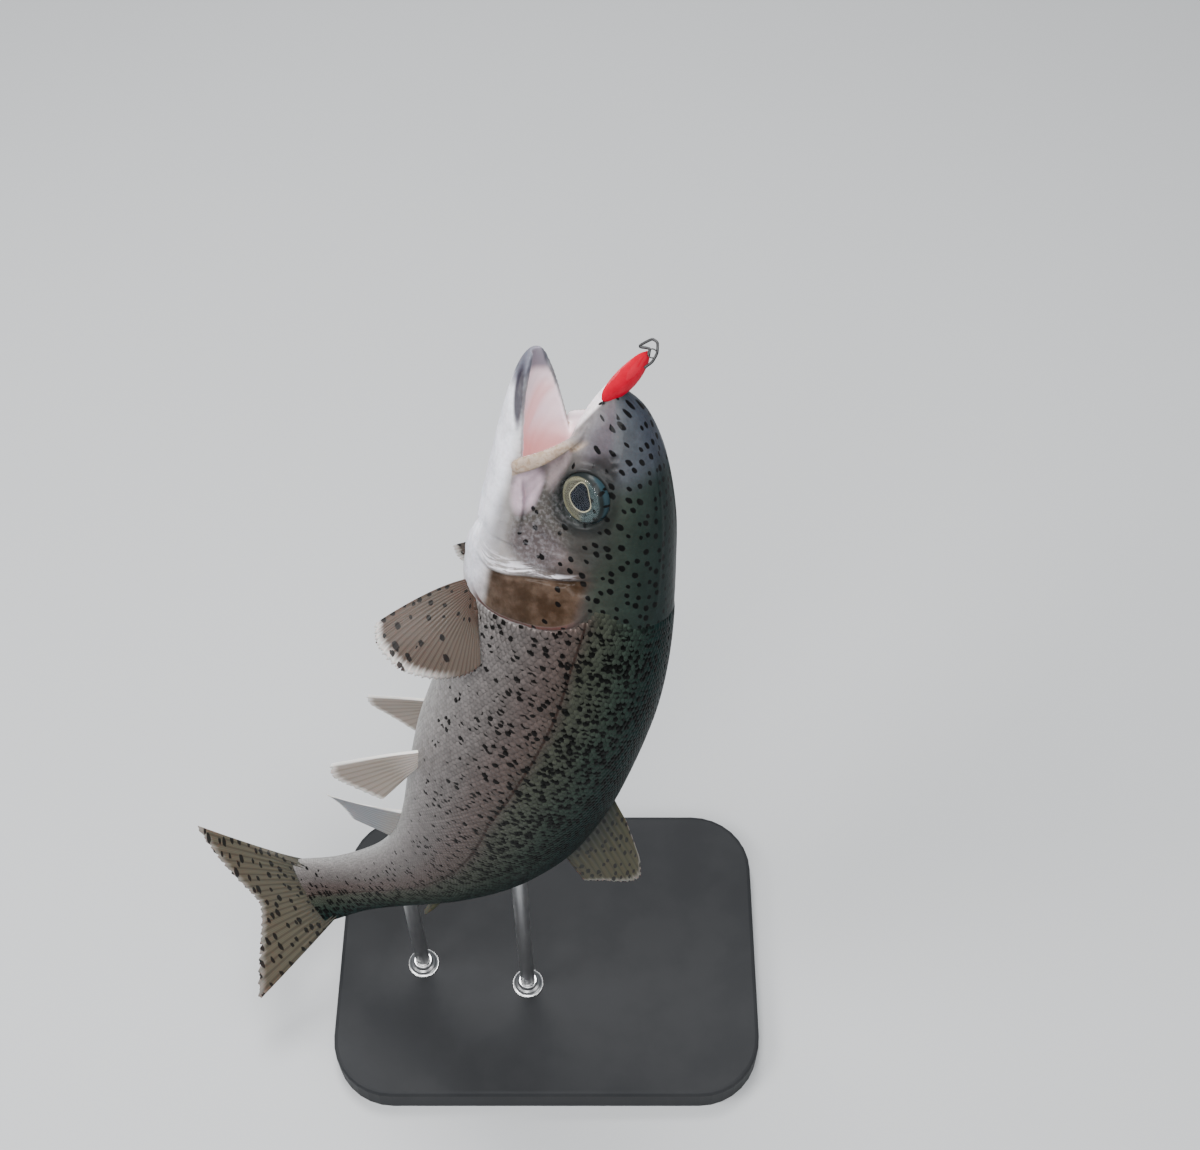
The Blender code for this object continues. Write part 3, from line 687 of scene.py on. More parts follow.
        # Pores of the line along the lower jaw and round the eye.
        pores = [(6 + 5.1 * k, -33.6 - 0.45 * k) for k in range(self.pores)]
        pores += [(40 + 25 * math.cos(0.28 * k - 1.1), -2 - 23 * math.sin(0.28 * k - 0.7))
                  for k in range(self.pores)]
        for spot_s, spot_z in pores:
            press(outer & (np.abs(y) > 3 * MM), -0.3, np.hypot(s - spot_s * MM, z - spot_z * MM), 0.5)
        # Pleats of the mouth's lining.
        lining = self.mouth_lining(points)
        pleat = np.sin(np.abs(y) / MM * 2.6 + 0.4 * np.sin(s / MM * 0.35))
        move += 0.16 * MM * pleat * lining * ease(6 * MM, 14 * MM, s)
        set_points(self.made, points + normals * move[:, None])

    def behind_ridge(self, s: Array, z: Array) -> Array:
        """How far behind the ridge of the front gill bone each point lies."""
        return s - table_curves(self.ridge)[0](z)

    def mouth_lining(self, points: Array) -> Array:
        """How surely each point lies inside the mouth, from 0 to 1."""
        s, y, z = points.T
        top, bottom, wide = table_curves(self.mouth.hollow)
        middle, half = (top(s) + bottom(s)) / 2, (top(s) - bottom(s)) / 2
        out = (np.abs(y) / wide(s)) ** 2.2 + (np.abs(z - middle) / half) ** 2.2
        return (1 - ease(1.02, 1.22, out)) * (1 - ease(78 * MM, 82 * MM, s))

    def keep_places(self) -> None:
        """Keeps each point's place on the straight fish, unwraps the skin, and poses it."""
        points = mesh_points(self.made)
        s, y, z = points.T
        round_share = self.body.around(s, y, z)
        side = np.where(y >= 0, 1.0, -1.0)
        store(self.made, "flat", np.stack([s, round_share * self.body.half_girth(s), side * 0.2], 1))
        store(self.made, "straight", points)
        store(self.made, "around", round_share)
        facing = point_normals(self.made)[:, 1] * side
        inward = ease(0.1, 0.35, -facing) * (s < 0.056) * (z < 1 * MM)
        lining = self.mouth_lining(points) * (1 - ease(0.15, 0.45, facing))
        store(self.made, "lining", np.maximum(lining, inward * (np.abs(y) > 4 * MM)))
        store(self.made, "gill", self.gill.share(s, z))
        store(self.made, "behind_ridge", self.behind_ridge(s, z))
        left, apart = np.stack([s, np.abs(y), z], 1), np.full(len(points), 1.0)
        for t in np.linspace(0, 1, 40):
            apart = np.minimum(apart, np.linalg.norm(left - self.maxilla_path(t)[0], axis=1))
        store(self.made, "maxilla", 1 - ease(2.9 * MM, 4.0 * MM, apart))
        unwrap = np.stack([0.02 + 0.96 * s / 0.42, 0.5 + 0.46 * round_share * side], axis=1)
        fresh_uv(self.made, np.clip(unwrap, 0, 1))
        set_points(self.made, self.body.pose(points))


# ---------------------------------------------------------------- scales


@dataclass
class Scales:
    """The coat of scales: thin domed plates in slanting rows, each rooted in the skin behind the head."""

    body: Body
    columns: int = 60                  # from the back to the belly, on each side
    start: float = 70 * MM
    end: float = 367 * MM
    first_spacing: float = 2.05 * MM   # between rows, at the shoulder
    last_spacing: float = 1.4 * MM     # and at the tail
    root_depth: float = 0.36 * MM
    tip_depth: float = 0.02 * MM
    thickness: float = 0.16 * MM
    tip_lift: float = 0.018            # how far a tip strays up or down, in mm
    half_width: float = 0.62           # as a share of a column
    widths: tuple = (0.93, 1.05)
    lengths: tuple = (1.95, 2.15)      # in row spacings
    ahead: float = 0.15                # the share of a scale's length that lies before its root
    stray: float = 0.05                # how far a scale lies off its place, as a share of the spacing
    edge: float = 0.002                # how near a root comes to the middle line of back or belly
    own_mark: float = 0.55             # how far a scale takes one colour, from its root
    pieces_along: int = 3
    patch: float = 0.003               # how large a scale's patch of the bake map is
    seed: int = 7
    # The rim, from the root round the free edge: share of the length, of the half width, of the height.
    rim: tuple = ((0.0, 0.55, 0.0), (0.45, 1.0, 0.68), (0.78, 0.86, 0.90), (0.96, 0.42, 0.99),
                  (1.0, 0.0, 1.0), (0.96, -0.42, 0.99), (0.78, -0.86, 0.90), (0.45, -1.0, 0.68),
                  (0.0, -0.55, 0.0))
    dome: tuple = ((0.55, 0.0, 0.90),)
    gill: GillCover = GillCover(reach=(17.5, 25.4))
    crown: tuple = ((0.0, 0.24, 0.33, 0.40), (0.080, 0.078, 0.072, 0.074))   # the way round, the first row

    def rows(self) -> Array:
        """Places of the rows along the fish, closing up towards the tail."""
        places = [self.start]
        while places[-1] < self.end:
            share = (places[-1] - self.start) / (self.end - self.start)
            closing = (self.last_spacing - self.first_spacing) * share
            places.append(places[-1] + self.first_spacing + closing)
        return np.array(places)

    def covered(self, s: Array, around: Array) -> Array:
        """Whether a scale's root lies on scaled skin: not on the gill cover, the crown or the isthmus."""
        points, _ = self.body.surface(s, around, np.ones(len(s)))
        along, up = self.gill.offsets(s, points[:, 2])
        along = np.maximum(0, along) / (self.gill.reach[0] * MM)
        on_gill = (along ** self.gill.square + np.abs(up) ** self.gill.square < 1) & (s < 97 * MM)
        crown = s < np.interp(around, *self.crown)
        throat = (around > 0.78) & (s < (86 + 46 * (around - 0.78) / 0.22) * MM)
        before = (around > 0.40) & (s < 78 * MM)
        return ~(on_gill | crown | throat | before)

    def build(self) -> list[Piece]:
        """Lays every scale, and joins them in a few pieces on each side.

        Returns:
            The pieces.
        """
        rng = np.random.default_rng(self.seed)
        rows = self.rows()
        spacing = np.gradient(rows)
        row_s, row_gap, share = [], [], []
        for number, (place, gap) in enumerate(zip(rows, spacing)):
            offset = 0.5 if number % 2 else 0.0
            columns = (np.arange(self.columns) + 0.25 + offset) / self.columns
            row_s.append(np.full(len(columns), place))
            row_gap.append(np.full(len(columns), gap))
            share.append(np.clip(columns, self.edge, 1 - self.edge))
        s, gap, around = (np.concatenate(part) for part in (row_s, row_gap, share))
        made = []
        for side in Side:
            jitter = rng.normal(0, self.stray, (2, len(s)))
            keep = self.covered(s, around)
            at_s = s[keep] + jitter[0][keep] * gap[keep]
            at_round = np.clip(around[keep] + jitter[1][keep] / self.columns, self.edge, 1 - self.edge)
            order = np.argsort(at_s, kind="stable")
            for number, chosen in enumerate(np.array_split(order, self.pieces_along)):
                name = f"scales_{side.name.lower()}_{('front', 'middle', 'back')[number]}"
                made.append(self.piece(name, at_s[chosen], at_round[chosen], gap[keep][chosen], side, rng))
        return made

    def piece(self, name: str, s: Array, around: Array, gap: Array, side: Side,
              rng: np.random.Generator) -> Piece:
        """Makes one joined mesh of scales.

        Args:
            name: the piece's name.
            s: where each scale's root lies along the fish.
            around: and how far round.
            gap: the distance to the next row there.
            side: which side of the fish.
            rng: the source of each scale's own tone and tilt.

        Returns:
            The piece.
        """
        count, corners = len(s), len(self.rim)
        width = self.half_width / self.columns * rng.uniform(*self.widths, count)
        length = gap * rng.uniform(*self.lengths, count)
        tip = rng.uniform(-self.tip_lift, self.tip_lift, count) * MM
        tone = rng.uniform(0, 1, count)
        shape = np.array((self.rim + self.dome) * 2)
        under = np.concatenate([np.zeros(corners + 1), np.ones(corners + 1)])
        all_s = s[:, None] + length[:, None] * (shape[None, :, 0] - self.ahead)
        all_round = around[:, None] + width[:, None] * shape[None, :, 1]
        over = all_round < 0, all_round > 1
        hand = np.where(over[0] | over[1], -side.value, side.value)
        all_round = np.where(over[0], -all_round, np.where(over[1], 2 - all_round, all_round))
        base, normal = self.body.surface(all_s.ravel(), np.clip(all_round.ravel(), 0.001, 0.999),
                                         hand.ravel().astype(float))
        height = (-self.root_depth + (self.root_depth - self.tip_depth) * shape[None, :, 2]
                  + tip[:, None] * shape[None, :, 0] - self.thickness * under[None, :]).ravel()
        points = base + normal * height[:, None]
        k = np.arange(corners)
        after = (k + 1) % corners
        size = 2 * (corners + 1)
        top = np.stack([k, after, np.full(corners, corners)], 1)
        bottom = np.stack([after, k, np.full(corners, corners)], 1) + corners + 1
        wall = np.concatenate([np.stack([after, k, k + corners + 1], 1),
                               np.stack([after, k + corners + 1, after + corners + 1], 1)])
        faces = np.concatenate([top, bottom, wall])
        if side is Side.LEFT:
            faces = faces[:, ::-1]
        faces = (faces[None] + (np.arange(count) * size)[:, None, None]).reshape(-1, 3)
        made = make_mesh(name, self.body.pose(points), faces)
        root_s, root_round = np.repeat(s, size), np.repeat(around, size)
        girth = self.body.half_girth(points[:, 0])
        flat_side = np.full(len(points), side.value * 0.2)
        share = self.own_mark
        mixed_s = share * root_s + (1 - share) * points[:, 0] + 0.4 * share * np.repeat(length, size)
        mixed_round = share * root_round + (1 - share) * all_round.ravel()
        store(made, "flat", np.stack([mixed_s, mixed_round * girth, flat_side], 1))
        store(made, "around", all_round.ravel())
        store(made, "tone", np.repeat(tone, size))
        store(made, "reach", np.tile(shape[:, 0], count))
        local = np.stack([np.tile(shape[:, 0] - 0.5, count), np.tile(shape[:, 1] * 0.5, count)], 1)
        root_uv = np.stack([0.02 + 0.96 * root_s / 0.42, 0.5 + 0.46 * root_round * side.value], axis=1)
        fresh_uv(made, root_uv + local * self.patch)
        return made


# ---------------------------------------------------------------- fins


@dataclass
class Fin:
    """A rayed fin. Control rays give its outline; finer rays and the skin between are worked out."""

    name: str
    bases: Array
    ways: Array
    lengths: Array
    ray_count: int
    bow: float = 0.0
    thick_root: float = 1.9 * MM
    thick_rim: float = 0.42 * MM
    ripple: float = 0.5 * MM
    steps: int = 46
    per_ray: int = 8
    sink: float = 3.0 * MM
    notch: float = 0.025               # how deep the rim is cut between rays, as a share of their length
    ragged: float = 0.008
    branching: tuple = (0.42, 0.62)    # where along a ray it divides
    joint: float = 0.55 * MM
    between: float = 0.72              # how thick the skin is between rays, as a share

    def build(self, body: Body) -> Piece:
        """Makes the blade: ridged along its rays, branching, and slightly ragged at the rim."""
        across = self.ray_count * self.per_ray + 1
        u = np.linspace(0, 1, across)
        control = np.linspace(0, 1, len(self.lengths))
        bases = np.stack([smooth_curve(control, column)(u) for column in self.bases.T], 1)
        ways = unit(np.stack([np.interp(u, control, column) for column in unit(self.ways).T], 1))
        phase = u * self.ray_count * math.pi
        notch = np.abs(np.sin(phase)) ** 0.7
        lengths = smooth_curve(control, self.lengths)(u) * (
            1 - self.notch + self.notch * notch + self.ragged * np.sin(phase * 3.7 + 1.3))
        t = np.linspace(0, 1, self.steps)
        reach = t[:, None] * (lengths + self.sink)[None, :] - self.sink
        share = np.clip(reach / lengths[None, :], -0.2, 1)
        forward = (lengths * self.bow)[None, :] * np.clip(share, 0, 1) * (1 - share)
        grid = bases[None] + ways[None] * reach[..., None]
        grid[..., 0] -= forward
        normal = unit(np.cross(np.gradient(grid, axis=1), np.gradient(grid, axis=0)))
        wave = self.ripple * np.sin(u * 7.0 + 0.6)[None, :] * np.clip(share, 0, 1) ** 1.5
        grid += normal * wave[..., None]
        branch = ease(*self.branching, share)
        single = np.abs(np.sin(phase))[None, :] ** 1.6
        double = np.abs(np.sin(phase * 2 + math.pi / 2))[None, :] ** 1.4
        ridge = single * (1 - branch) + (0.25 + 0.75
                                         * double) * branch * np.abs(np.sin(phase))[None, :] ** 0.3
        joints = 1 + 0.10 * np.sin(reach / self.joint) * ease(0.25, 0.5, share)
        root = (1 - np.clip(share, 0, 1)) ** 2.2
        thick = self.thick_rim + (self.thick_root - self.thick_rim) * root
        thick = thick * (self.between + (1 - self.between) * ridge * joints)
        edge_u = np.minimum(u, 1 - u)[None, :] * self.ray_count
        thick = thick * (0.35 + 0.65 * ease(0, 0.5, edge_u)) * (0.5 + 0.5 * ease(0, 0.03, 1 - share))
        points = np.concatenate([(grid + normal * (way * thick / 2)[..., None]).reshape(-1, 3)
                                 for way in (1, -1)])
        made = make_mesh(self.name, body.pose(points), thin_sheet(self.steps, across))

        def twice(values: Array) -> Array:
            """The values at the points of both sides."""
            return np.tile(np.broadcast_to(values, share.shape).ravel(), 2)

        store(made, "outward", twice(np.clip(share, 0, 1)))
        store(made, "across", twice(u[None, :]))
        store(made, "ray", twice(ridge))
        ribbon = np.stack([twice(u[None, :] * 0.03), twice(reach), twice(np.full((1, 1), 0.1))], 1)
        store(made, "flat", ribbon)
        left = np.repeat([0.02, 0.52], share.size)
        fresh_uv(made, np.stack([twice(u[None, :]) * 0.46 + left, twice(t[:, None]) * 0.96 + 0.02], 1))
        return made


@dataclass
class Fins:
    """All the fins, placed on the straight fish."""

    body: Body
    gap: float = 0.3 * MM
    stand_off: float = 0.6 * MM
    tail_spread: float = math.radians(31)
    tail_middle: float = 33 * MM
    tail_outer: float = 57 * MM

    def midline(self, name: str, start: float, end: float, lengths: tuple, lean: tuple, rays: int,
                upward: bool = True) -> Fin:
        """A fin on the back or the belly, whose rays lean back from upright, first to last."""
        share = np.linspace(0, 1, len(lengths))
        s = start + (end - start) * share
        angle = np.radians(lean[0] + (lean[1] - lean[0]) * share)
        sign = 1 if upward else -1
        height = (self.body.back(s) if upward else self.body.belly(s)) + sign * self.gap
        bases = np.stack([s, np.zeros(len(s)), height], 1)
        ways = np.stack([np.sin(angle), np.zeros(len(s)), sign * np.cos(angle)], 1)
        return Fin(name, bases, ways, np.array(lengths) * MM, rays)

    def paired(self, name: str, side: Side, first: tuple, last: tuple, way_first: tuple, way_last: tuple,
               lengths: tuple, bow: float, rays: int) -> Fin:
        """A fin of the flank, whose base runs between two places given as S and Z in mm."""
        share = np.linspace(0, 1, len(lengths))[:, None]
        line = (np.array(first) + (np.array(last) - np.array(first)) * share) * MM
        s, z = line[:, 0], line[:, 1]
        y = self.body.half_width(s) * self.body.flank(s, z)
        bases = np.stack([s, side.value * (y + self.stand_off), z], 1)
        ways = np.array(way_first) + (np.array(way_last) - np.array(way_first)) * share
        ways = ways * (1, side.value, 1)
        return Fin(name, bases, ways, np.array(lengths) * MM, rays, bow, thick_root=2.1 * MM)

    def tail(self) -> Fin:
        """The tail fin: rays fan out from the stalk's end to a shallow fork."""
        across = np.linspace(1, -1, 15)
        bases = np.stack([np.full(15, self.body.stalk_end + self.gap), np.zeros(15), -17.5 * MM * across],
                         1)
        lean = -self.tail_spread * across
        ways = np.stack([np.cos(lean), np.zeros(15), np.sin(lean)], 1)
        lengths = self.tail_middle + (self.tail_outer - self.tail_middle) * np.abs(across) ** 1.5
        return Fin("caudal_fin_blade", bases, ways, lengths, 21, thick_root=4.6 * MM, ripple=0.9 * MM,
                   sink=8 * MM)

    def build(self) -> dict[str, Piece]:
        """Makes every fin.

        Returns:
            The blades by the name of the solid each stands for.
        """
        fins = {"dorsal_fin": self.midline("dorsal_fin_blade", 0.176, 0.224,
                                           (12, 33, 38, 36, 32, 28, 24, 21, 18), (48, 36), 12),
                "anal_fin": self.midline("anal_fin_blade", 0.258, 0.289, (12, 38, 41, 36, 30, 24, 19),
                                         (52, 36), 11, upward=False),
                "adipose_fin": self.midline("adipose_fin_flap", 0.303, 0.311, (5, 13, 15, 12), (62, 60), 2),
                "caudal_fin": self.tail(),}
        for side in Side:
            hand = side.name.lower()
            fins[f"pectoral_fin_{hand}"] = self.paired(
                f"pectoral_fin_{hand}_blade", side, (89, -35.5), (99, -26.5), (30, 17, -30), (34, 8, 12),
                (41, 44, 43, 38.5, 32, 25, 18), 0.35, 24)
            fins[f"pelvic_fin_{hand}"] = self.paired(
                f"pelvic_fin_{hand}_blade", side, (183, -37.5), (193, -35), (28, 5, -31), (33, 4, -9),
                (40, 42, 38, 32, 26), 0.15, 9)
        return {node: fin.build(self.body) for node, fin in fins.items()}


# ---------------------------------------------------------------- eyes, lure, stand


@dataclass
class Eye:
    """An eyeball that faces out and a little down, its flat iris under a clear swollen front."""

    body: Body
    side: Side
    centre: tuple = (36.5, 15.4, 3.2)
    radii: tuple = (9.9, 6.0)          # across, and outward
    iris_reach: float = 8.6
    iris_out: float = 3.6
    droop: float = math.radians(15)

    def place(self) -> Matrix:
        """The eye's own axes on the head: tailward, outward and back."""
        centre = Vector(self.centre) * MM
        centre.y *= self.side.value
        matrix = self.body.head_matrix() @ Matrix.Translation(centre)
        if self.side is Side.RIGHT:
            matrix = matrix @ Matrix.Scale(-1, 4, (0, 1, 0))
        return matrix @ Matrix.Rotation(-self.droop, 4, "X")

    def turned(self, name: str, outline: Sequence) -> Piece:
        """Turns an outline of distances outward and across about the eye's axis."""
        angles = turn(96)
        rings = [np.stack([wide * MM * np.cos(angles), np.full(96, out * MM), wide * MM * np.sin(angles)],
                          1) for out, wide in outline]
        made = make_mesh(name, *loft(rings))
        made.matrix_world = self.place()
        if self.side is Side.RIGHT:
            made.data.flip_normals()
        return made

    def build(self) -> list[Piece]:
        """Makes the ball with its flat iris, and the clear front over it."""
        hand = self.side.name.lower()
        ball = []
        for angle in np.linspace(0.01, math.pi - 0.01, 72):
            out, wide = math.cos(angle) * self.radii[1], math.sin(angle) * self.radii[0]
            flat = self.iris_out - 0.45 * float(bell(wide, 3.4)) + 0.25 * float(bell(wide - 4.2, 1.2))
            if wide < self.iris_reach and out > 0:
                out = min(out, flat)
            ball.append((out, wide))
        front = []
        for share in np.linspace(0.01, 1, 24):
            front.append((self.iris_out + 0.4 + 1.0 * (1 - share ** 2.2) ** 0.9,
                          share * (self.iris_reach + 0.2)))
        back = [(self.iris_out + 0.3,
                 share * (self.iris_reach + 0.2)) for share in np.linspace(1, 0.01, 10)]
        return [self.turned(f"eyeball_{hand}", ball), self.turned(f"cornea_{hand}", front + back)]


@dataclass
class Lure:
    """The red spoon at the snout, with its rings, its snap and the hook in the lip."""

    body: Body
    place: tuple = (3.8, 8.3, 0.2)
    axes: tuple = ((-0.17, -0.39, 0.90), (-0.80, -0.48, -0.37), (-0.58, 0.78, 0.23))
    length: float = 22.6 * MM
    half_width: float = 4.4 * MM
    slope: float = math.radians(47)
    roll: float = math.radians(38)
    thick: float = 0.9 * MM
    dish: float = 2.2 * MM
    wire_radius: float = 0.48 * MM
    snap: tuple = ((13.0, 11.5, 1.5), (15.6, 13.4, 2.2), (17.2, 16.5, 1.5), (17.2, 20.0, 0.5),
                   (15.4, 21.2, 0), (11.8, 19.4, -0.5), (11.6, 18.6, 0), (14.6, 17.9, 1.0),
                   (14.4, 15.5, 1.8))
    hook: tuple = ((4.6, 7.3, -0.6), (5.2, 7.0, -1.4), (6.0, 6.9, -2.0), (7.6, 5.8, -2.6), (9.4, 4.6, -3.0))

    def frame(self) -> Matrix:
        """The lure's own place and axes in the row frame."""
        return (self.body.head_matrix() @ Matrix.Translation(Vector(self.place) * MM)
                @ Matrix(self.axes).transposed().to_4x4())

    def spoon(self) -> Piece:
        """The dished leaf-shaped blade, with a rolled rim and a raised spine down its middle."""
        rows, count = 72, 64
        rings = []
        for t in np.linspace(0, 1, rows):
            wide = self.half_width * max(0.34, math.sin(math.pi * t ** 0.9) ** 0.5)
            round_end = math.sqrt(max(0.02, 1 - (2 * t - 1) ** 16))
            u = np.cos(turn(count))
            sag = self.dish * math.sin(math.pi * t) * (1 - 0.45 * u ** 2) * 0.95
            z = self.thick * 0.5 * np.sin(turn(count)) + sag - self.dish * 0.9
            rings.append(np.stack([np.full(count, t * self.length), wide * round_end * u, z], 1))
        made = make_mesh("spoon_blade", *loft(rings))
        made.matrix_world = (self.frame() @ Matrix.Rotation(self.slope, 4, "Z")
                             @ Matrix.Rotation(self.roll, 4, "X"))
        return made

    def wire(self, name: str, points: Sequence, matrix: Matrix, radius: float) -> Piece:
        """A smooth bent wire through points in mm, as a closed tube."""
        route = np.array(points, float) * MM
        dense = []
        for i in range(len(route) - 1):
            before, after = route[max(i - 1, 0)], route[min(i + 2, len(route) - 1)]
            for t in np.linspace(0, 1, 8, endpoint=False):
                slope_a, slope_b = (route[i + 1] - before) / 2, (after - route[i]) / 2
                h = t * t * (3 - 2 * t)
                dense.append(route[i] * (1 - h) + route[i + 1] * h
                             + slope_a * t * (1 - t) ** 2 * 0.6 - slope_b * t * t * (1 - t) * 0.6)
        dense.append(route[-1])
        rings, side = [], Vector((0.31, 0.52, 0.79))
        for point, way in zip(dense, np.gradient(np.array(dense), axis=0)):
            way = Vector(way).normalized()
            side = (side - way * side.dot(way)).normalized()
            other = way.cross(side)
            rings.append([point + np.array(side) * math.cos(a) * radius + np.array(other) * math.sin(a)
                          * radius for a in turn(12)])
        made = make_mesh(name, *loft(rings))
        made.matrix_world = matrix
        return made

    def ring(self, name: str, centre: tuple, across: float) -> Piece:
        """A small split ring of two close turns."""
        turns = [(centre[0] + across * math.cos(a), centre[1] + across * math.sin(a), centre[2] + 0.09 * a)
                 for a in np.linspace(0, 4 * math.pi, 49)]
        return self.wire(name, turns, self.frame(), 0.2 * MM)

    def build(self) -> dict[str, list[Piece]]:
        """Makes the lure's pieces.

        Returns:
            The pieces by the name of the solid each stands for.
        """
        return {
            "lure_spoon": [self.spoon()],
            "lure_snap": [self.wire("snap_wire", self.snap, self.frame(), self.wire_radius),
                          self.ring("spoon_ring", (15.6, 16.3, 1.0), 1.5)],
            "lure_hook": [self.wire("hook_wire", self.hook, self.body.head_matrix(), self.wire_radius)],
        }


@dataclass
class Stand:
    """The display stand's dressing: turned collars where the rods meet the base."""

    radius: float = 3.5 * MM
    collar: float = 7.5 * MM
    height: float = 5 * MM

    def collars(self) -> list[Piece]:
        """A turned collar at the foot of each rod."""
        base_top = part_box("stand_base")[1][2]
        made = []
        for name in ("stand_rod_front", "stand_rod_back"):
            low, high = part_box(name)
            x, y = (low[0] + high[0]) / 2, (low[1] + high[1]) / 2
            outline = [(self.radius + 0.15 * MM, 0.0), (self.collar, 0.0), (self.collar, 0.9 * MM)]
            outline += [(self.collar - 1.6 * MM * math.sin(a), 0.9 * MM + 1.6 * MM * (1 - math.cos(a)))
                        for a in np.linspace(0.2, math.pi / 2, 6)]
            outline += [(self.radius + 1.4 * MM, 3.2 * MM),
                        (self.radius + 1.1 * MM, self.height - 0.4 * MM),
                        (self.radius + 0.7 * MM, self.height), (self.radius + 0.15 * MM, self.height)]
            angles, count, rows = turn(64), 64, len(outline)
            points, faces = [], []
            for row, (radius, z) in enumerate(outline):
                points.append(np.stack([x + radius * np.cos(angles), y + radius * np.sin(angles),
                                        np.full(count, base_top + 0.02 * MM + z)], 1))
                faces += band(count, row * count, (row + 1) % rows * count)
            ring = make_mesh(name.replace("rod", "collar"), np.concatenate(points), faces)
            ring.data.set_sharp_from_angle(angle=math.radians(35))
            made.append(ring)
        return made


# ---------------------------------------------------------------- wiring


class Tree:
    """A small hand for wiring shader nodes. A value is a socket or a plain number or tuple."""

    def __init__(self, tree: NodeTree) -> None:
        """Starts with the tree to wire."""
        self.tree = tree

    def feed(self, node: Node, key: str | int, value: object) -> None:
        """Links a socket to a node's input, or fills the input with a plain value."""
        if isinstance(value, Socket):
            self.tree.links.new(value, node.inputs[key])
        else:
            node.inputs[key].default_value = value

    def node(self, kind: str, inputs: dict | None = None, **settings: object) -> Node:
        """Adds a node, sets it up and feeds its inputs.

        Args:
            kind: the node's type.
            inputs: a value for each input, by name or number.
            settings: the node's own settings.

        Returns:
            The node.
        """
        made = self.tree.nodes.new(kind)
        for key, value in settings.items():
            setattr(made, key, value)
        for key, value in (inputs or {}).items():
            self.feed(made, key, value)
        return made

    def math(self, operation: str, *values: object) -> Socket:
        """One step of arithmetic."""
        return self.node("ShaderNodeMath", dict(enumerate(values)), operation=operation).outputs[0]

    def minus(self, first: object, second: object) -> Socket:
        """The first value less the second."""
        return self.math("SUBTRACT", first, second)

    def times(self, first: object, *others: object) -> Socket:
        """All the values multiplied."""
        for other in others:
            first = self.math("MULTIPLY", first, other)
        return first

    def line(self, value: object, slope: object, start: object) -> Socket:
        """The value times a slope, from a start."""
        return self.math("MULTIPLY_ADD", value, slope, start)

    def length(self, first: object, second: object) -> Socket:
        """How far off a point lies, from its two coordinates."""
        return self.math("SQRT", self.math("ADD", self.times(first, first), self.times(second, second)))

    def mask(self, low: float, high: float, value: object) -> Socket:
        """Goes smoothly from 0 at low to 1 at high, which may be the smaller of the two."""
        return self.node("ShaderNodeMapRange", {"Value": value, "From Min": low, "From Max": high},
                         interpolation_type="SMOOTHSTEP").outputs["Result"]

    def vector(self, operation: str, inputs: dict) -> Socket:
        """One step of arithmetic with vectors or colours."""
        return self.node("ShaderNodeVectorMath", inputs, operation=operation).outputs[0]

    def parts(self, vector: object) -> Sequence[Socket]:
        """A vector's three parts."""
        return tuple(self.node("ShaderNodeSeparateXYZ", {0: vector}).outputs)

    def whole(self, x: object, y: object) -> Socket:
        """A vector from its first two parts."""
        return self.node("ShaderNodeCombineXYZ", {0: x, 1: y}).outputs[0]

    def noise(self, place: object, scale: float, detail: float, distortion: float = 0.0) -> Node:
        """Soft noise over a place."""
        return self.node("ShaderNodeTexNoise", {"Vector": place, "Scale": scale, "Detail": detail,
                                                "Distortion": distortion})

    def mix(self, share: object, first: object, second: object) -> Socket:
        """Blends two colours."""
        inputs = {"Factor": share}
        for number, value in ((6, first), (7, second)):
            inputs[number] = value if isinstance(value, Socket) else (*value, 1)
        return self.node("ShaderNodeMix", inputs, data_type="RGBA").outputs[2]

    def paint(self, under: object, colour: object, *shares: object) -> Socket:
        """Lays a colour over another by the product of the shares."""
        return self.mix(self.times(*shares), under, colour)

    def read(self, name: str, output: str = "Fac") -> Socket:
        """Reads a value kept at the mesh's points."""
        return self.node("ShaderNodeAttribute", attribute_name=name).outputs[output]

    def group(self, group: NodeTree, inputs: dict) -> Sequence[Socket]:
        """Places a shared effect, and gives its outputs."""
        return self.node("ShaderNodeGroup", inputs, node_tree=group).outputs


def new_group(name: str, inputs: dict, outputs: dict) -> tuple:
    """Starts a shared effect.

    Args:
        name: the effect's name.
        inputs: each input's socket type and default.
        outputs: each output's socket type.

    Returns:
        The tree to wire, its inputs' sockets and its output node.
    """
    group = bpy.data.node_groups.new(name, "ShaderNodeTree")
    for key, (kind, value) in inputs.items():
        socket = group.interface.new_socket(key, in_out="INPUT", socket_type=kind)
        if value is not None:
            socket.default_value = value
    for key, kind in outputs.items():
        group.interface.new_socket(key, in_out="OUTPUT", socket_type=kind)
    tree = Tree(group)
    return tree, tree.node("NodeGroupInput").outputs, tree.node("NodeGroupOutput")


FLOAT, VECTOR, COLOUR = "NodeSocketFloat", "NodeSocketVector", "NodeSocketColor"
# The coat's colour at shares of the way round from the back to the belly.
COAT_STOPS = (
    (0.0, (0.003, 0.009, 0.009)), (0.16, (0.005, 0.015, 0.014)), (0.30, (0.023, 0.034, 0.026)),
    (0.415, (0.050, 0.054, 0.040)), (0.455, (0.062, 0.054, 0.046)), (0.53, (0.100, 0.086, 0.080)),
    (0.66, (0.185, 0.166, 0.160)), (0.80, (0.31, 0.29, 0.28)), (1.0, (0.50, 0.49, 0.48)))


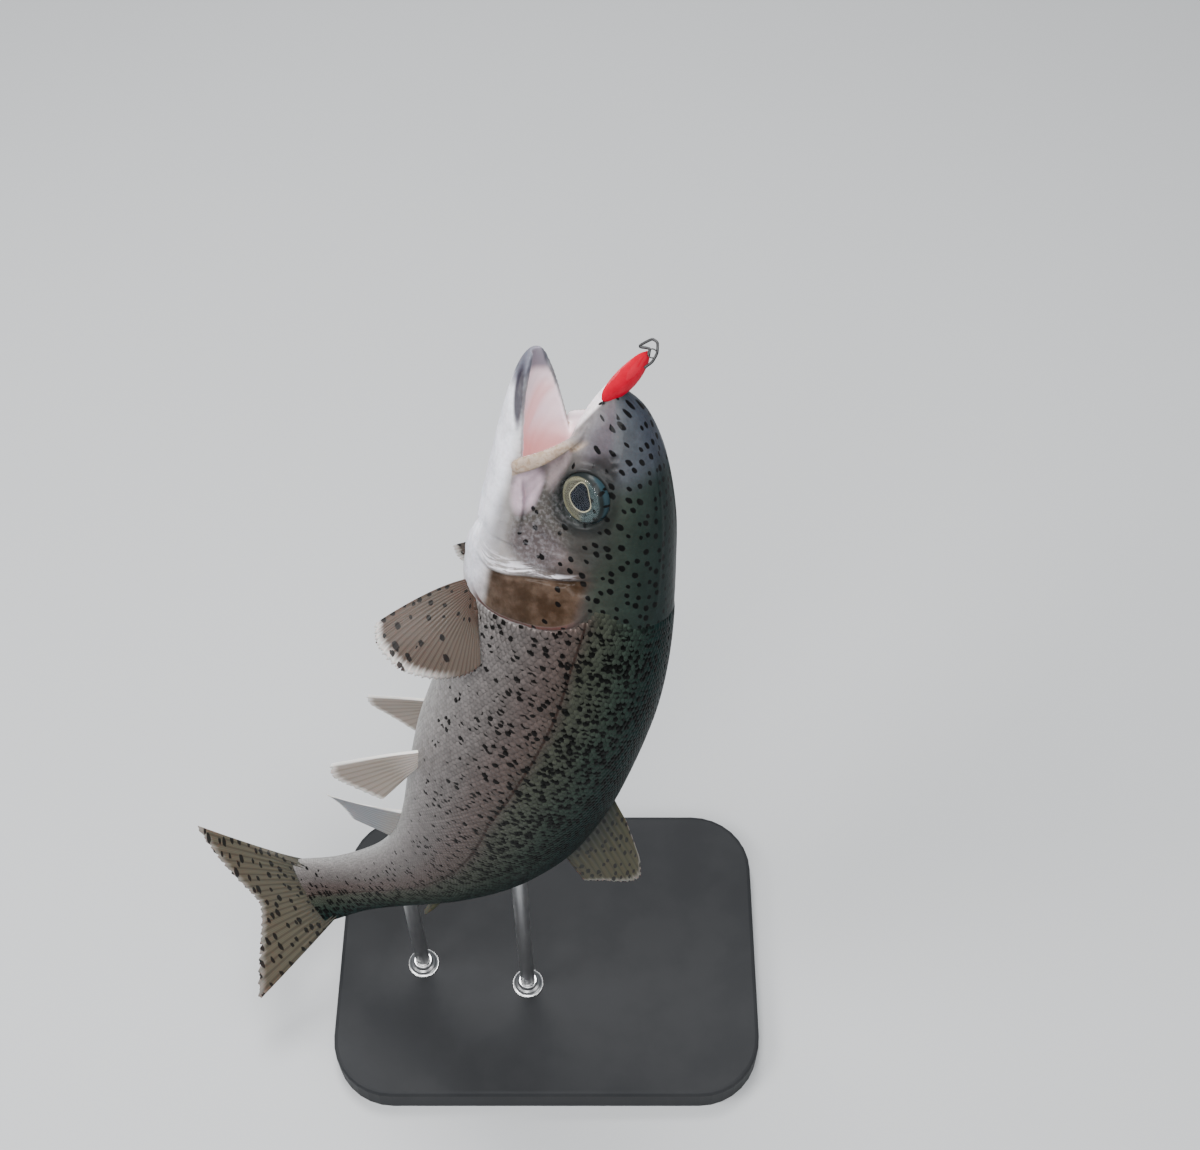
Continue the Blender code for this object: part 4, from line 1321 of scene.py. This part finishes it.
class Effects:
    """The effects that several finishes share, each built once."""

    def __init__(self) -> None:
        """Builds the markings, the colour of the coat and the wet grain."""
        self.spots = self.build_spots()
        self.coat = self.build_coat()
        self.grain = self.build_grain()

    def build_spots(self) -> NodeTree:
        """Dark spots over a flat map of the skin: one size and spacing, thinned by a cover value."""
        tree, given, out = new_group("dark_spots", {
            "Flat": (VECTOR, None), "Spacing": (FLOAT, 4.6), "Size": (FLOAT, 0.26), "Cover": (FLOAT, 1.0),
            "Raggedness": (FLOAT, 0.3), "Stretch": (FLOAT, 1.0)}, {"Spots": FLOAT})
        in_mm = tree.vector("SCALE", {0: given["Flat"], "Scale": 1000.0})
        push = tree.vector("SUBTRACT", {0: tree.noise(in_mm, 0.75, 2.0).outputs["Color"],
                                        1: (0.5, 0.5, 0.5)})
        push = tree.vector("SCALE", {0: push, "Scale": tree.times(given["Raggedness"], 5.0)})
        along, across, side = tree.parts(tree.vector("ADD", {0: in_mm, 1: push}))
        along = tree.math("DIVIDE", tree.math("DIVIDE", along, given["Spacing"]), given["Stretch"])
        across = tree.math("DIVIDE", across, given["Spacing"])
        cells = tree.node("ShaderNodeTexVoronoi", {
            "Vector": tree.whole(tree.math("ADD", along, side), across), "Scale": 1.0, "Randomness": 0.66},
            voronoi_dimensions="2D").outputs
        chance = tree.node("ShaderNodeSeparateColor", {0: cells["Color"]}).outputs
        size = tree.times(given["Size"], tree.line(chance[1], 0.55, 0.72))
        inner = tree.minus(1.0, tree.math("DIVIDE", cells["Distance"], size))
        kept = tree.math("LESS_THAN", chance[0], given["Cover"])
        tree.feed(out, "Spots", tree.times(tree.mask(-0.12, 0.16, inner), kept))
        return tree.tree

    def build_coat(self) -> NodeTree:
        """The trout's colour round the body: dark back, silver flank with a rose band, white belly."""
        tree, given, out = new_group("trout_coat", {
            "Flat": (VECTOR, None), "Around": (FLOAT, 0.5), "Tone": (FLOAT, 0.5), "Nape": (FLOAT, 0.08)},
            {"Color": COLOUR, "Shine": FLOAT, "Spots": FLOAT})
        s = tree.parts(given["Flat"])[0]
        drift = tree.noise(given["Flat"], 55.0, 3.0).outputs[0]
        course = tree.node("ShaderNodeMapRange", {"Value": s, "From Min": 0.083, "From Max": 0.19,
                                                  "To Min": 0.372, "To Max": 0.497}).outputs[0]
        level = tree.minus(tree.math("ADD", given["Around"], 0.45), course)
        around = tree.math("ADD", level, tree.times(tree.minus(drift, 0.5), 0.06))
        ramp = tree.node("ShaderNodeValToRGB", {0: around})
        elements = ramp.color_ramp.elements
        for number, (place, colour) in enumerate(COAT_STOPS):
            stop = elements[number] if number < 2 else elements.new(place)
            stop.position, stop.color = place, (*colour, 1)
        colour = tree.paint(ramp.outputs[0], (0.22, 0.10, 0.09), tree.mask(0.42, 0.48, around),
                            tree.mask(0.62, 0.50, around), 0.12)
        stray = tree.math("ABSOLUTE", tree.minus(given["Around"], course))
        colour = tree.paint(colour, (0.026, 0.013, 0.010), tree.mask(0.006, 0.0015, stray),
                            tree.mask(0.078, 0.084, s), 0.85)
        size = tree.line(tree.mask(0.36, 0.52, level), -0.11, 0.37)
        body_spots = tree.group(self.spots, {
            "Flat": given["Flat"], "Spacing": 3.5, "Size": size, "Raggedness": 0.05, "Stretch": 0.62,
            "Cover": tree.minus(0.92, tree.mask(0.34, 0.92, given["Around"]))})[0]
        head_spots = tree.group(self.spots, {
            "Flat": given["Flat"], "Spacing": 4.4, "Size": 0.215, "Raggedness": 0.04,
            "Cover": tree.minus(0.96, tree.mask(0.30, 0.62, given["Around"]))})[0]
        past_nape = tree.mask(-0.005, 0.005, tree.minus(s, given["Nape"]))
        spots = tree.math("ADD", tree.times(head_spots, tree.minus(1.0, past_nape)),
                          tree.times(body_spots, past_nape))
        shade = tree.vector("SCALE", {0: colour, "Scale": tree.line(given["Tone"], 0.36, 0.82)})
        tree.feed(out, "Color", tree.paint(shade, (0.001, 0.001, 0.001), spots, 0.97))
        tree.feed(out, "Shine", tree.times(tree.mask(0.25, 0.5, around), tree.minus(1.0, spots)))
        tree.feed(out, "Spots", spots)
        return tree.tree

    def build_grain(self) -> NodeTree:
        """The fine grain of wet skin, as a height."""
        tree, given, out = new_group("wet_grain", {"Place": (VECTOR, None), "Fineness": (FLOAT, 900.0)},
                                     {"Height": FLOAT})
        fine = tree.noise(given["Place"], given["Fineness"], 3.0).outputs[0]
        cells = tree.node("ShaderNodeTexVoronoi", {"Vector": given["Place"], "Scale": given["Fineness"]})
        tree.feed(out, "Height", tree.line(cells.outputs[0], 0.5, fine))
        return tree.tree


# ---------------------------------------------------------------- finishes


@dataclass(frozen=True)
class Finish:
    """The settings that are the same all over a finish."""

    name: str
    roughness: float = 0.4
    metallic: float = 0.0
    coat: float = 0.0
    coat_roughness: float = 0.08
    sheen: float = 0.5                 # how strongly the bare surface shines
    subsurface: float = 0.0
    bump: float = 0.0
    scatter: float = 0.002

    def build(self, effects: Effects) -> Material:
        """Makes the material with its plain values, and wires the rest.

        Args:
            effects: the shared effects.

        Returns:
            The material.
        """
        made = bpy.data.materials.new(self.name)
        made.use_nodes = True
        shader = made.node_tree.nodes["Principled BSDF"]
        for key, value in (("Roughness", self.roughness), ("Metallic", self.metallic),
                           ("Specular IOR Level", self.sheen), ("Coat Weight", self.coat),
                           ("Coat Roughness", self.coat_roughness), ("Subsurface Weight", self.subsurface),
                           ("Subsurface Scale", self.scatter)):
            shader.inputs[key].default_value = value
        self.wire(Tree(made.node_tree), shader, effects)
        return made

    def wire(self, tree: Tree, shader: Node, effects: Effects) -> None:
        """Wires what varies over the surface: nothing, on a plain finish."""

    def raise_bump(self, tree: Tree, shader: Node, height: Socket,
                   distance: float) -> None:
        """Feeds a height to the shader's normal."""
        bump = tree.node("ShaderNodeBump", {"Height": height, "Strength": self.bump, "Distance": distance})
        tree.feed(shader, "Normal", bump.outputs[0])


@dataclass(frozen=True)
class HideFinish(Finish):
    """The trout's hide: markings on head and flank, the cream jaws and the pink lining of the mouth."""

    is_scales: bool = False
    # Soft patches of the head: centre and reach in mm, colour, strength.
    patches: tuple = (((62, 24), (40, 15), (0.012, 0.017, 0.016), 0.6),
                      ((14, 10), (16, 14), (0.060, 0.062, 0.085), 0.55),
                      ((47, -9), (22, 12), (0.042, 0.038, 0.033), 0.9),
                      ((50, 8), (12, 8), (0.026, 0.028, 0.026), 0.8),
                      ((60, -9), (8, 11), (0.085, 0.066, 0.072), 0.5),
                      ((66, 6), (5, 8), (0.030, 0.024, 0.022), 0.7),
                      ((82, -31), (16, 6), (0.36, 0.33, 0.34), 0.85),
                      ((62, -34), (30, 7.5), (0.60, 0.60, 0.66), 0.95),
                      ((60, -27), (14, 5), (0.23, 0.225, 0.235), 0.7),
                      ((30, -34), (34, 9), (0.68, 0.68, 0.74), 0.97),
                      ((40, -18), (9, 4.5), (0.50, 0.38, 0.44), 0.85),
                      ((27, -10), (10, 4), (0.50, 0.40, 0.41), 0.6),
                      ((25, 7), (6, 5), (0.020, 0.018, 0.018), 0.85),
                      ((36.5, 3), (12.6, 12.4), (0.012, 0.014, 0.014), 0.95),
                      ((0, -33), (9, 7), (0.065, 0.068, 0.098), 0.9))
    freckles: tuple = (((46.9, -13.9), 0.9), ((47.4, -12.2), 0.8), ((53.1, -11.3), 1.1),
                       ((59.5, -13.4), 1.1), ((51.3, -2.1), 0.8), ((56.8, -16.2), 0.6), ((62.5, -7.5), 0.7))
    black: tuple = (0.003, 0.003, 0.003)

    def blob(self, tree: Tree, place: Sequence, centre: tuple, reach: tuple,
             soft: float = 0.35, slope: float = 0.0) -> Socket:
        """A soft oval patch on the side of the head, centred at S and Z in mm, rising by the slope."""
        s = tree.line(place[0], 1000 / reach[0], -centre[0] / reach[0])
        z = tree.line(place[2], 1000 / reach[1], -centre[1] / reach[1])
        z = tree.line(s, -slope * reach[0] / reach[1], z)
        return tree.mask(1 + soft, 1 - soft, tree.length(s, z))

    def head(self, tree: Tree, coat: Socket) -> Socket:
        """Paints the head over the coat's colour.

        Args:
            tree: the tree to wire.
            coat: the coat's colour.

        Returns:
            The colour with the head's own patches.
        """
        straight = tree.read("straight", "Vector")
        place = tree.parts(straight)
        s, _, z = place
        on_head = tree.mask(0.096, 0.084, s)
        colour = coat
        for centre, reach, tint, strength in self.patches:
            colour = tree.paint(colour, tint, self.blob(tree, place, centre, reach), strength, on_head)
        for centre, radius in self.freckles:
            colour = tree.paint(colour, self.black, self.blob(tree, place, centre, (radius, radius), 0.25),
                                0.96)
        band = self.blob(tree, place, (11.5, -29.3), (9.5, 1.9), 0.35, 0.3)
        colour = tree.paint(colour, (0.020, 0.016, 0.024), band, 0.93)
        from_lip = tree.minus(tree.line(s, 0.55, z), 0.0016)
        colour = tree.paint(colour, (0.80, 0.73, 0.75), tree.mask(0.0008, -0.0008, from_lip),
                            tree.mask(0.019, 0.015, s), tree.mask(-0.018, -0.014, z))
        fleck = tree.noise(straight, 750.0, 5.0).outputs[0]
        colour = tree.paint(colour, (0.17, 0.165, 0.175), tree.mask(0.40, 0.72, fleck),
                            self.blob(tree, place, (58, -14), (20, 13), 0.5), 0.50)
        drift = tree.noise(straight, 160.0, 4.0).outputs[0]
        colour = self.gill_cover(tree, colour, place, on_head, drift)
        bone = tree.mix(tree.mask(0.45, 0.62, fleck), (0.38, 0.30, 0.24), (0.28, 0.20, 0.14))
        colour = tree.paint(colour, bone, tree.read("maxilla"), tree.mask(0.0165, 0.0215, s), 0.95)
        cloud = tree.line(fleck, 0.5, tree.line(drift, 0.7, 0.40))
        return tree.vector("SCALE", {0: colour, "Scale": cloud})

    def gill_cover(self, tree: Tree, colour: Socket, place: Sequence,
                   on_head: Socket, drift: Socket) -> Socket:
        """Paints the silver ridge of the front gill bone with painted white highlight streaks on it, the
        brown plate behind it and its red edge.

        Args:
            tree: the tree to wire.
            colour: the colour so far.
            place: S, Y and Z on the straight fish.
            on_head: 1 on the head.
            drift: slow noise, for the plate's clouds.

        Returns:
            The colour with the gill cover on it.
        """
        s, _, low = place
        behind, gill = tree.read("behind_ridge"), tree.read("gill")
        streak = tree.noise(tree.whole(tree.times(behind, 900.0), tree.times(low, 170.0)), 1.0, 4.0, 0.6)
        wide = tree.line(tree.mask(-0.002, -0.022, low), 0.0050, 0.0022)
        ahead = tree.math("DIVIDE", tree.times(behind, -1.0), wide)
        # The ridge's bright band: partly the bone's own silver, partly painted white highlight streaks,
        # broken up by the streak noise.
        colour = tree.paint(
            colour, (0.62, 0.60, 0.64), tree.mask(-0.10, 0.15, ahead), tree.mask(1.1, 0.5, ahead),
            tree.mask(0.011, -0.002, low), tree.mask(-0.032, -0.027, low), on_head,
            tree.mask(0.42, 0.60, streak.outputs[0]), 0.92)
        cloudy = tree.mix(tree.mask(0.35, 0.65, drift), (0.030, 0.016, 0.008), (0.058, 0.037, 0.025))
        colour = tree.paint(
            colour, cloudy, tree.mask(0.0002, 0.0014, behind), tree.mask(0.97, 0.92, gill),
            tree.mask(-0.0265, -0.0225, low), tree.mask(0.0135, 0.009, low), 0.96)
        return tree.paint(
            colour, (0.070, 0.026, 0.022), tree.mask(0.93, 0.97, gill), tree.mask(1.07, 1.03, gill),
            tree.mask(0.070, 0.078, s), tree.mask(-0.034, -0.026, low), tree.mask(0.014, 0.006, low), 0.9)

    def mouth(self, tree: Tree, colour: Socket) -> Socket:
        """Paints the lining: pale pink, redder in the throat and beside the tongue, grey at the tip."""
        s, y, z = tree.parts(tree.read("straight", "Vector"))
        aside = tree.math("ABSOLUTE", tree.minus(tree.math("ABSOLUTE", y), 0.0092))
        groove = tree.times(tree.mask(0.0034, 0.0008, aside), tree.mask(0.010, 0.020, s), 0.7)
        deep = tree.times(tree.mask(0.027, 0.046, s), tree.mask(-0.006, -0.020, z))
        pink = tree.mix(tree.math("MAXIMUM", groove, deep), (0.97, 0.87, 0.92), (0.98, 0.60, 0.58))
        pink = tree.paint(pink, (0.15, 0.15, 0.20), tree.mask(0.011, 0.006, s),
                          tree.mask(-0.016, -0.024, z), 0.85)
        return tree.mix(tree.read("lining"), colour, pink)

    def wire(self, tree: Tree, shader: Node, effects: Effects) -> None:
        """Wires the finish."""
        coat = tree.group(effects.coat, {"Flat": tree.read("flat", "Vector"), "Around": tree.read("around"),
                                         "Tone": tree.read("tone") if self.is_scales else 0.5,
                                         "Nape": 0.080 if self.is_scales else 0.106})
        place = tree.node("ShaderNodeTexCoord").outputs["Object"]
        grain = tree.group(effects.grain, {"Place": place, "Fineness": 1400.0})[0]
        if self.is_scales:
            edge = tree.mask(0.84, 1.0, tree.read("reach"))
            colour = tree.paint(coat["Color"], (0.03, 0.032, 0.028), edge, 0.30)
            tree.feed(shader, "Metallic", tree.times(coat["Shine"], 0.62))
        else:
            colour = tree.paint(self.head(tree, coat["Color"]), self.black, coat["Spots"], 0.97)
            colour = self.mouth(tree, colour)
            grain = tree.line(tree.noise(place, 330.0, 3.0).outputs[0], 3.0, grain)
        tree.feed(shader, "Base Color", colour)
        self.raise_bump(tree, shader, grain, 0.00015)


@dataclass(frozen=True)
class FinFinish(Finish):
    """A fin's skin: darker rays, paler skin between, its own tint, rim and spots."""

    roughness: float = 0.42
    coat: float = 0.06
    sheen: float = 0.12
    subsurface: float = 0.12
    bump: float = 0.2
    root: tuple = (0.10, 0.085, 0.055)
    skin: tuple = (0.30, 0.26, 0.20)
    ray: tuple = (0.13, 0.10, 0.07)
    rim: tuple = (0.75, 0.73, 0.70)
    rim_share: float = 0.3
    spots: float = 0.0
    front_edge: float = 0.0
    spots_fade: float = 0.0            # how much the spots thin out towards the last ray
    rim_end: float = 1.2               # how far from the leading ray the pale rim runs

    def wire(self, tree: Tree, shader: Node, effects: Effects) -> None:
        """Wires the finish."""
        outward, across = tree.read("outward"), tree.read("across")
        body = tree.mix(tree.mask(0.2, 0.75, tree.read("ray")), self.skin, self.ray)
        body = tree.mix(tree.mask(0.4, 0.0, outward), body, self.root)
        body = tree.paint(body, self.rim, tree.mask(0.90, 0.99, outward), self.rim_share,
                          tree.mask(self.rim_end + 0.2, self.rim_end - 0.2, across))
        if self.front_edge > 0:
            body = tree.paint(body, self.rim, tree.mask(0.09, 0.03, across), self.front_edge)
        if self.spots > 0:
            cover = tree.line(across, -self.spots * self.spots_fade, self.spots)
            marks = tree.group(effects.spots, {"Flat": tree.read("flat", "Vector"), "Spacing": 4.0,
                                               "Size": 0.24, "Cover": cover, "Raggedness": 0.08,
                                               "Stretch": 0.9})
            body = tree.paint(body, (0.004, 0.004, 0.004), marks[0], 0.93)
        tree.feed(shader, "Base Color", body)
        place = tree.node("ShaderNodeTexCoord").outputs["Object"]
        grain = tree.group(effects.grain, {"Place": place, "Fineness": 1500.0})[0]
        self.raise_bump(tree, shader, grain, 0.0001)


@dataclass(frozen=True)
class EyeFinish(Finish):
    """The eye: pear-shaped dark pupil, pale gold rings, a ball that is dark round them, and a painted
    bluish sky reflection along its upper rim.
    """

    pupil: float = 4.8
    iris: float = 8.3

    def wire(self, tree: Tree, shader: Node, effects: Effects) -> None:
        """Wires the finish over the ball's own axes."""
        spot = tree.node("ShaderNodeTexCoord").outputs["Object"]
        place = tree.parts(spot)
        x, z = tree.times(place[0], 1000.0), tree.times(place[2], 1000.0)
        forward = tree.mask(1.0, -6.0, x)
        tall = tree.times(z, tree.line(forward, 0.55, 1.0))
        long = tree.math("ADD", tree.line(forward, 1.0, x), 0.8)
        pear, far = tree.length(long, tall), tree.length(x, z)
        fleck = tree.noise(spot, 1100.0, 4.0).outputs[0]
        iris = tree.mix(fleck, (0.018, 0.018, 0.013), (0.060, 0.056, 0.038))
        iris = tree.paint(iris, (0.075, 0.071, 0.045), tree.mask(self.iris - 1.5, self.iris - 0.9, far),
                          0.85)
        outside = tree.mask(self.pupil + 0.22, self.pupil + 0.60, pear)
        iris = tree.mix(outside, (0.190, 0.176, 0.115), iris)
        iris = tree.paint(iris, (0.018, 0.026, 0.026), tree.mask(-0.5, 3.0, z), outside)
        iris = tree.mix(tree.mask(self.iris - 0.15, self.iris + 0.15, far), iris, (0.010, 0.013, 0.013))
        # A painted bluish reflection of the sky along the upper rim of the ball.
        iris = tree.paint(iris, (0.016, 0.036, 0.046), tree.mask(self.iris + 0.7, self.iris + 1.2, far),
                          tree.mask(0.5, 4.0, z), 0.8)
        marks = tree.group(effects.spots, {"Flat": tree.whole(place[0], place[2]), "Spacing": 3.0,
                                           "Size": 0.24, "Cover": 0.9, "Raggedness": 0.1})
        iris = tree.paint(iris, (0.003, 0.003, 0.003), tree.mask(2.0, 4.5, z), outside, marks[0])
        pupil = tree.mask(self.pupil + 0.12, self.pupil - 0.12, pear)
        tree.feed(shader, "Base Color", tree.mix(pupil, iris, (0.003, 0.004, 0.006)))


@dataclass(frozen=True)
class ClearFinish(Finish):
    """A clear wet front that light passes through without a dark shadow."""

    def wire(self, tree: Tree, shader: Node, effects: Effects) -> None:
        """Wires the finish."""
        shader.inputs["Transmission Weight"].default_value = 1.0
        shader.inputs["IOR"].default_value = 1.02
        shader.inputs["Base Color"].default_value = (0.97, 0.98, 1.0, 1)
        passing = tree.node("ShaderNodeBsdfTransparent")
        mixed = tree.node("ShaderNodeMixShader",
                          {0: tree.node("ShaderNodeLightPath").outputs["Is Shadow Ray"],
                           1: shader.outputs[0], 2: passing.outputs[0]})
        tree.feed(tree.tree.nodes["Material Output"], "Surface", mixed.outputs[0])


@dataclass(frozen=True)
class PlainFinish(Finish):
    """One colour with a little unevenness and grain."""

    colour: tuple = (0.5, 0.5, 0.5)
    second: tuple = (0.5, 0.5, 0.5)
    cloud_size: float = 40.0
    grain_size: float = 900.0
    grain_height: float = 0.00005

    def wire(self, tree: Tree, shader: Node, effects: Effects) -> None:
        """Wires the finish."""
        place = tree.node("ShaderNodeTexCoord").outputs["Object"]
        cloud = tree.noise(place, self.cloud_size, 4.0).outputs[0]
        tree.feed(shader, "Base Color", tree.mix(tree.mask(0.35, 0.65, cloud), self.colour, self.second))
        if self.bump > 0:
            grain = tree.group(effects.grain, {"Place": place, "Fineness": self.grain_size})[0]
            self.raise_bump(tree, shader, grain, self.grain_height)


# ---------------------------------------------------------------- studio


@dataclass
class Studio:
    """A pale floor, soft lights and the camera."""

    floor_colour: tuple = (0.52, 0.53, 0.54)
    eye_height: float = 0.5695
    look_down: float = math.radians(55)
    aside: float = -0.0056
    below: float = -0.0643
    lens: float = 51.0
    film: float = 36.0
    floor_half: float = 6.0
    floor_drop: float = 0.0002
    air: tuple = (0.70, 0.76, 0.82, 1)
    air_strength: float = 0.26
    # Each light's name, place, target, size in metres and power in watts.
    lights: tuple = (
        ("key light", (-0.95, -0.35, 1.35), (0, 0, 0.25), 0.7, 18.0),
        ("top light", (0.1, -0.3, 1.8), (0, 0, 0.3), 0.9, 14.0),
        ("back light", (-0.12, 0.5, 1.6), (0, 0, 0.35), 0.6, 22.0),
        ("fill light", (1.3, -0.7, 0.7), (0, 0, 0.25), 1.2, 5.0),
        ("front light", (-0.2, -0.95, 1.5), (0, 0, 0.25), 0.9, 17.0))

    def build(self, snout: Vector, effects: Effects) -> None:
        """Sets the floor, the lights, the world and the camera.

        Args:
            snout: the fish's snout, which the camera is placed from.
            effects: the shared effects.
        """
        self.floor(effects)
        for name, place, target, size, power in self.lights:
            self.light(name, Vector(place), Vector(target), size, power)
        world = bpy.data.worlds.new("soft surround")
        world.use_nodes = True
        background = world.node_tree.nodes["Background"].inputs
        background["Color"].default_value = self.air
        background["Strength"].default_value = self.air_strength
        bpy.context.scene.world = world
        self.camera(snout)

    def floor(self, effects: Effects) -> None:
        """A wide, plain floor."""
        corners = ((-1, -1), (1, -1), (1, 1), (-1, 1))
        points = [(x * self.floor_half, y * self.floor_half, -self.floor_drop) for x, y in corners]
        floor = make_mesh("floor", np.array(points), [[0, 1, 2, 3]])
        finish = PlainFinish("floor_paper", roughness=0.85, colour=self.floor_colour,
                             second=tuple(c * 0.985 for c in self.floor_colour), cloud_size=3.0)
        floor.data.materials.append(finish.build(effects))

    def light(self, name: str, place: Vector, target: Vector, size: float, power: float) -> None:
        """One soft area light aimed at a target."""
        data = bpy.data.lights.new(name, "AREA")
        data.shape, data.size, data.energy = "DISK", size, power
        made = bpy.data.objects.new(name, data)
        made.location = place
        made.rotation_euler = (target - place).to_track_quat("-Z", "Y").to_euler()
        bpy.context.scene.collection.objects.link(made)

    def camera(self, snout: Vector) -> None:
        """The camera, standing off from the snout and looking down at the fish."""
        sine, cosine = math.sin(self.look_down), math.cos(self.look_down)
        right, up, back = Vector((1, 0, 0)), Vector((0, sine, cosine)), Vector((0, -cosine, sine))
        data = bpy.data.cameras.new("camera")
        data.lens, data.sensor_width = self.lens, self.film
        data.dof.use_dof = False
        made = bpy.data.objects.new("camera", data)
        made.location = snout + right * self.aside + up * self.below + back * self.eye_height
        made.rotation_euler = (math.pi / 2 - self.look_down, 0, 0)
        bpy.context.scene.collection.objects.link(made)
        bpy.context.scene.camera = made


# ---------------------------------------------------------------- building it all


HIDE = {"skin": HideFinish("wet_hide", 0.45, coat=0.09, coat_roughness=0.05, sheen=0.04, subsurface=0.05,
                           bump=0.35), "scales": HideFinish("scale_coat", 0.45, coat=0.03,
                                                            coat_roughness=0.06, sheen=0.03, bump=0.06,
                                                            is_scales=True),}
FINS = {
    "dorsal_fin": FinFinish("dorsal_fin_skin", skin=(0.050, 0.046, 0.024), ray=(0.034, 0.032, 0.019),
                            root=(0.018, 0.021, 0.015), spots=0.85, rim_share=0.15),
    "adipose_fin": FinFinish("adipose_fin_skin", skin=(0.055, 0.052, 0.028), ray=(0.042, 0.042, 0.024),
                             root=(0.018, 0.021, 0.015), spots=0.55, rim=(0.015, 0.015, 0.013),
                             rim_share=0.85),
    "caudal_fin": FinFinish("tail_fin_skin", skin=(0.072, 0.064, 0.046), ray=(0.048, 0.042, 0.030),
                            root=(0.045, 0.042, 0.032), spots=0.85, rim_share=0.15),
    "anal_fin": FinFinish("anal_fin_skin", skin=(0.19, 0.20, 0.215), ray=(0.145, 0.150, 0.160),
                          root=(0.19, 0.18, 0.17), rim_share=0.7, front_edge=0.85),
    "pelvic_fin": FinFinish("pelvic_fin_skin", skin=(0.22, 0.19, 0.165), ray=(0.17, 0.145, 0.12),
                            root=(0.26, 0.23, 0.21), rim_share=0.5, front_edge=0.85),
    "pectoral_fin": FinFinish("pectoral_fin_skin", skin=(0.072, 0.058, 0.048), ray=(0.050, 0.038, 0.030),
                              root=(0.056, 0.038, 0.030), rim_share=0.6, spots=0.60, spots_fade=1.1,
                              rim_end=0.6),
}
FLESH_NODES = ("head", "lower_jaw", "tongue", "maxilla_left", "maxilla_right", "gill_cover_left",
               "gill_cover_right", "trunk_front", "trunk_rear", "tail_stalk")


def settle(piece: Piece, finish: Material, slot: str, *nodes: str) -> None:
    """Gives a piece its finish, its body and the solids it stands for, and reports it."""
    piece.data.materials.append(finish)
    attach(piece, "root")
    if nodes:
        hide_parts(*nodes)
    log.info("%s: %d faces", piece.name, len(piece.data.polygons))


def main() -> None:
    """Builds the fish, its lure and its stand, then the studio."""
    logging.basicConfig(level=logging.INFO, format="%(name)s %(message)s")
    effects, body = Effects(), Body()
    settle(Skin(body).build(), HIDE["skin"].build(effects), "trout_skin", *FLESH_NODES)
    coat = HIDE["scales"].build(effects)
    for piece in Scales(body).build():
        settle(piece, coat, "trout_skin")
    finishes = {name: finish.build(effects) for name, finish in FINS.items()}
    for node, blade in Fins(body).build().items():
        kind = node.removesuffix("_left").removesuffix("_right")
        settle(blade, finishes[kind], "fin_skin", node)
    eye = EyeFinish("eye_inner", 0.35, coat=0.05, coat_roughness=0.06, sheen=0.10).build(effects)
    clear = ClearFinish("eye_clear", 0.0, coat=0.20, coat_roughness=0.03, sheen=0.0).build(effects)
    for side in Side:
        ball, cornea = Eye(body, side).build()
        settle(ball, eye, "eye_gloss", f"eye_{side.name.lower()}")
        settle(cornea, clear, "eye_gloss")
    red = PlainFinish("spoon_enamel", 0.30, coat=0.30, coat_roughness=0.03, sheen=0.03,
                      colour=(0.50, 0.0, 0.022), second=(0.44, 0.0, 0.018), cloud_size=300.0).build(effects)
    wire = PlainFinish("snap_black", 0.32, metallic=0.8, colour=(0.03, 0.03, 0.032),
                       second=(0.05, 0.05, 0.05), bump=0.1).build(effects)
    for node, pieces in Lure(body).build().items():
        finish, slot = (red, "red_enamel") if node == "lure_spoon" else (wire, "black_wire")
        settle(pieces[0], finish, slot, node)
        for piece in pieces[1:]:
            settle(piece, finish, slot)
    steel = PlainFinish("rod_steel_brushed", 0.28, metallic=1.0, colour=(0.60, 0.60, 0.60),
                        second=(0.52, 0.52, 0.53), cloud_size=60.0, bump=0.08).build(effects)
    paint = PlainFinish("base_black_paint", 0.62, coat=0.03, coat_roughness=0.3, sheen=0.12,
                        colour=(0.020, 0.021, 0.023), second=(0.024, 0.025, 0.027), bump=0.12,
                        grain_size=2500.0).build(effects)
    for node, finish in (("stand_base", paint), ("stand_rod_front", steel), ("stand_rod_back", steel)):
        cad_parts[node].data.materials.clear()
        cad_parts[node].data.materials.append(finish)
    for piece in Stand().collars():
        settle(piece, steel, "rod_steel")
    Studio().build(Vector(body.snout), effects)
    bpy.context.view_layer.update()


if __name__ == "__main__":
    main()
